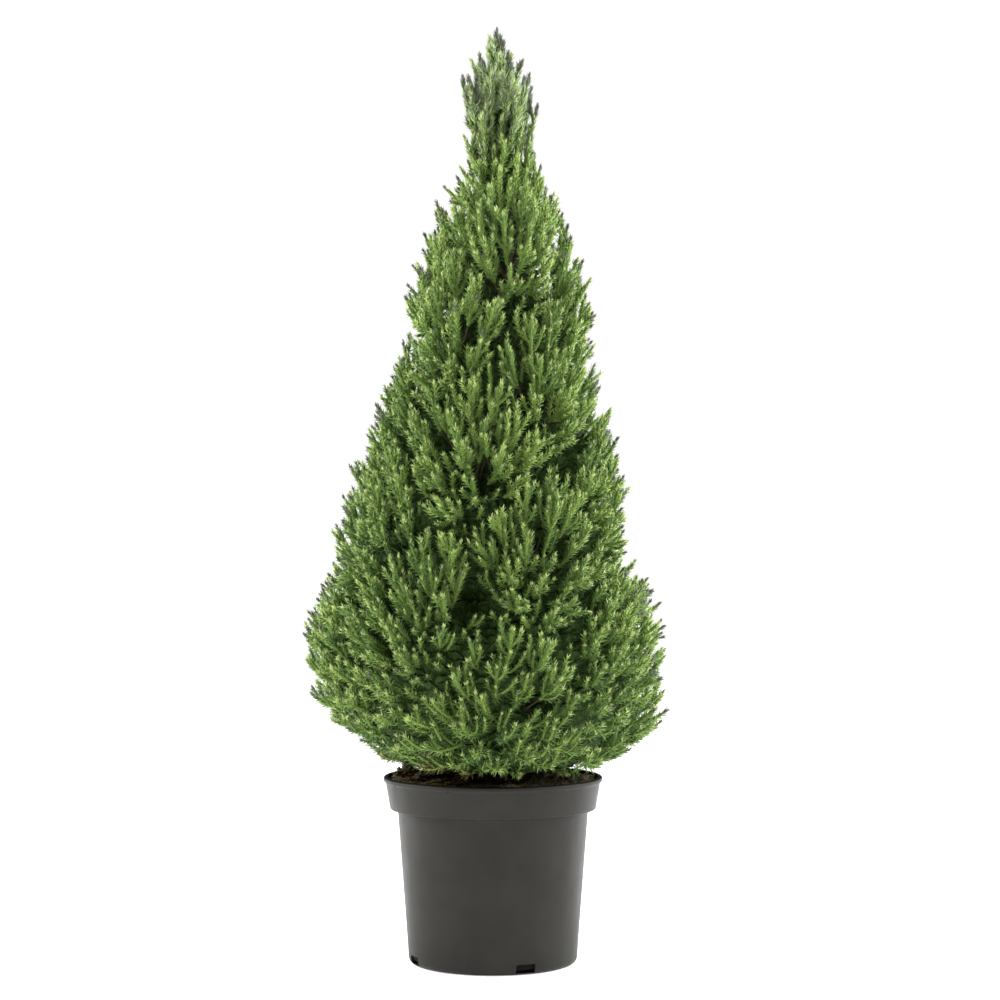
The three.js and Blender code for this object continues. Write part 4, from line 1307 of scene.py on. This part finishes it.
def soil_mesh():
    wall = pot_inside(GAP)
    edge = wall[-1][0] - SOIL_MESH["off_wall"]
    rings = np.linspace(edge, SOIL_MESH["innermost"], SOIL_MESH["rings"])
    under_edge = (edge, SOIL_LEVEL - SOIL["edge_drop"])
    profile = [*wall[:-1], under_edge, *[(radius, SOIL_LEVEL) for radius in rings]]
    vertices, faces = turned(profile, SOIL_MESH["columns"])
    on_top = vertices[:, 2] == SOIL_LEVEL
    x, y = vertices[on_top, :2].T
    height, fade = soil_height(x, y)

    def in_slice(kind):
        """Each point's place in the noise, of which the soil shows one flat slice."""
        size = SOIL_GRAIN[kind + "_size"]
        return [Vector((u / size, v / size, SOIL_GRAIN[kind + "_slice"])) for u, v in zip(x, y)]

    coarse = np.array([noise.fractal(place, *SOIL_NOISE) for place in in_slice("coarse")])
    lumps = np.array([noise.voronoi(place)[0][0] for place in in_slice("fine")])
    fine = SOIL_GRAIN["fine_top"] - SOIL_GRAIN["fine_depth"] * lumps
    relief = SOIL_GRAIN["coarse"] * coarse + SOIL_GRAIN["fine"] * fine
    vertices[on_top, 2] = height + between(SOIL_GRAIN["at_trunk"], 1, fade) * relief
    return vertices, faces


def scattered(count, least, most, local, sector=ALL_ROUND):
    """Points on the soil between two distances from the middle, within a sector."""
    distance = np.sqrt(local.uniform(least**2, most**2, count))
    angle = np.radians(local.uniform(*sector, count))
    x, y = distance * np.cos(angle), distance * np.sin(angle)
    return np.stack([x, y, soil_height(x, y)[0]], -1)


def crumbs(count, least, most, seed):
    """Small uneven lumps, each a stretched eight-faced body."""
    local = np.random.default_rng(seed)
    corners = len(CRUMB_AXES)
    places = scattered(count, TRUNK_SEAT_RADIUS, CRUMB["furthest"], local)
    size = local.uniform(least, most, count)[:, None, None]
    size = size * local.uniform(*CRUMB["stretch"], (count, corners, 1))
    uneven = local.normal(0, CRUMB["jitter"], (count, corners, 3)) * size
    points = places[:, None] + np.array(CRUMB_AXES)[None] * size + uneven
    points[..., 2] += size[..., 0] * CRUMB["rise"]
    return points.reshape(-1, 3), repeated(CRUMB_FACES, corners, count)


def litter(count, least, most, radius, seed, sector=ALL_ROUND):
    """Dead needles and bits of twig lying on the soil."""
    local = np.random.default_rng(seed)
    middle = scattered(count, *LITTER["distance"], local, sector)
    heading = local.uniform(0, TAU, count)
    along = unit(outwards(heading) + upwards(local.uniform(*LITTER["slope"], count)))
    half = local.uniform(least, most, count)[:, None] / 2
    middle[:, 2] += local.uniform(*LITTER["rise"], count)
    curves = np.stack([middle - along * half, middle, middle + along * half], 1)
    curves[:, 1] += local.normal(0, LITTER["bend"], (count, 3))
    radii = np.array(LITTER["radii"])[None] * radius * local.uniform(*LITTER["radius_jitter"], count)[:, None]
    return tubes(curves, radii, LITTER["sides"])


soil = mesh_piece("soil_surface", *soil_mesh(), soil_look, "soil", ["soil"])
soil.data.materials.append(low_soil_painted_shade_look)
# Faces below that height, seen only through the drain holes, take the nearly black soil: painted shade
for face in soil.data.polygons:
    face.material_index = int(face.center.z < PAINTED_SHADE_BELOW * MM)
for name, parts, look in (
    ("soil_crumbs", [crumbs(3200, 0.8, 2.4, 21), crumbs(260, 2.4, 4.2, 22)], soil_look),
    ("bark_bits", [crumbs(240, 1.2, 3.2, 23)], litter_look),
    ("dead_needles", [litter(900, 6, 9, 0.42, 24), litter(700, 6, 9, 0.42, 25, LEFT)], dead_needle_look),
    ("dead_twigs", [litter(34, 18, 44, 1.0, 26, WIDE_LEFT)], twig_bark),
):
    mesh_piece(name, *joined(parts), look, "soil", ["soil"])

# ---- Stage, lights and camera, in metres

FLOOR = {"size": 44.0, "glow": 0.42, "roughness": 0.9, "patches": 3.0}
# What light the studio gives, from behind the camera to behind the plant: it is dim behind the camera
STUDIO_GREYS = [(0.0, 0.03), (0.36, 0.1), (0.5, 1.05), (1.0, 1.05)]
BACKDROP_GREY = 1.05  # as the camera sees it, from every side
SOFTBOXES = {  # places, and powers in watts
    "key": ((-2.4, 0.1, 1.7), 110.0), "fill": ((2.4, 0.1, 1.7), 118.0), "top": ((0, -0.5, 3.0), 24.0),
}
SOFTBOX_SIZE = 1.6
LIT_POINT = (0, 0, 0.5)
CAMERA = {"lens": 93.35, "sensor": 36.0, "place": (0.0077, -2.85, 0.507)}


def grey(value):
    return (value, value, value, 1.0)


def floor():
    n = Nodes(bpy.data.materials.new("floor_paint"))
    colour = n.ramp(n.noise(FLOOR["patches"]), [(0.3, srgb(246, 246, 246)), (0.7, srgb(252, 252, 252))])
    n.link(colour, n.shader.inputs["Base Color"])
    n.shader.inputs["Roughness"].default_value = FLOOR["roughness"]
    n.shader.inputs["Emission Strength"].default_value = FLOOR["glow"]
    n.shader.inputs["Emission Color"].default_value = grey(1.0)
    half = FLOOR["size"] / 2
    mesh = bpy.data.meshes.new("floor")
    corners = [(-half, -half, 0), (half, -half, 0), (half, half, 0), (-half, half, 0)]
    mesh.from_pydata(corners, [], [(0, 1, 2, 3)])
    mesh.materials.append(n.owner)
    made = bpy.data.objects.new("floor", mesh)
    bpy.context.scene.collection.objects.link(made)
    return made


def studio():
    """Light from a world that is dim behind the camera, with a backdrop that is white wherever it is seen."""
    n = Nodes(bpy.data.worlds.new("studio"), "Background")
    direction = n.add("ShaderNodeSeparateXYZ")
    n.link(n.add("ShaderNodeTexCoord").outputs["Generated"], direction.inputs["Vector"])
    depth = n.map(direction.outputs["Y"], (-1.0, 1.0), (0.0, 1.0))
    n.link(n.ramp(depth, [(share, grey(value)) for share, value in STUDIO_GREYS]), n.shader.inputs["Color"])
    backdrop = n.add("ShaderNodeBackground", Color=grey(BACKDROP_GREY))
    seen_or_lit = n.add("ShaderNodeMixShader")
    n.link(n.add("ShaderNodeLightPath").outputs["Is Camera Ray"], seen_or_lit.inputs["Fac"])
    n.link(n.shader.outputs["Background"], seen_or_lit.inputs[1])
    n.link(backdrop.outputs["Background"], seen_or_lit.inputs[2])
    n.link(seen_or_lit.outputs["Shader"], n.tree.nodes["World Output"].inputs["Surface"])
    return n.owner


def softbox(name, location, power):
    light = bpy.data.lights.new(name, "AREA")
    light.shape = "RECTANGLE"
    light.size = SOFTBOX_SIZE
    light.size_y = SOFTBOX_SIZE
    light.energy = power
    made = bpy.data.objects.new(name, light)
    made.location = location
    made.rotation_mode = "QUATERNION"
    made.rotation_quaternion = (Vector(LIT_POINT) - Vector(location)).to_track_quat("-Z", "Y")
    bpy.context.scene.collection.objects.link(made)


floor()
bpy.context.scene.world = studio()
for name, (location, power) in SOFTBOXES.items():
    softbox(name, location, power)

camera = bpy.data.cameras.new("camera")
camera.lens = CAMERA["lens"]
camera.sensor_width = CAMERA["sensor"]
camera_object = bpy.data.objects.new("camera", camera)
camera_object.location = CAMERA["place"]
camera_object.rotation_euler = (math.pi / 2, 0, 0)
bpy.context.scene.collection.objects.link(camera_object)
bpy.context.scene.camera = camera_object
bpy.context.scene.view_settings.view_transform = "Standard"
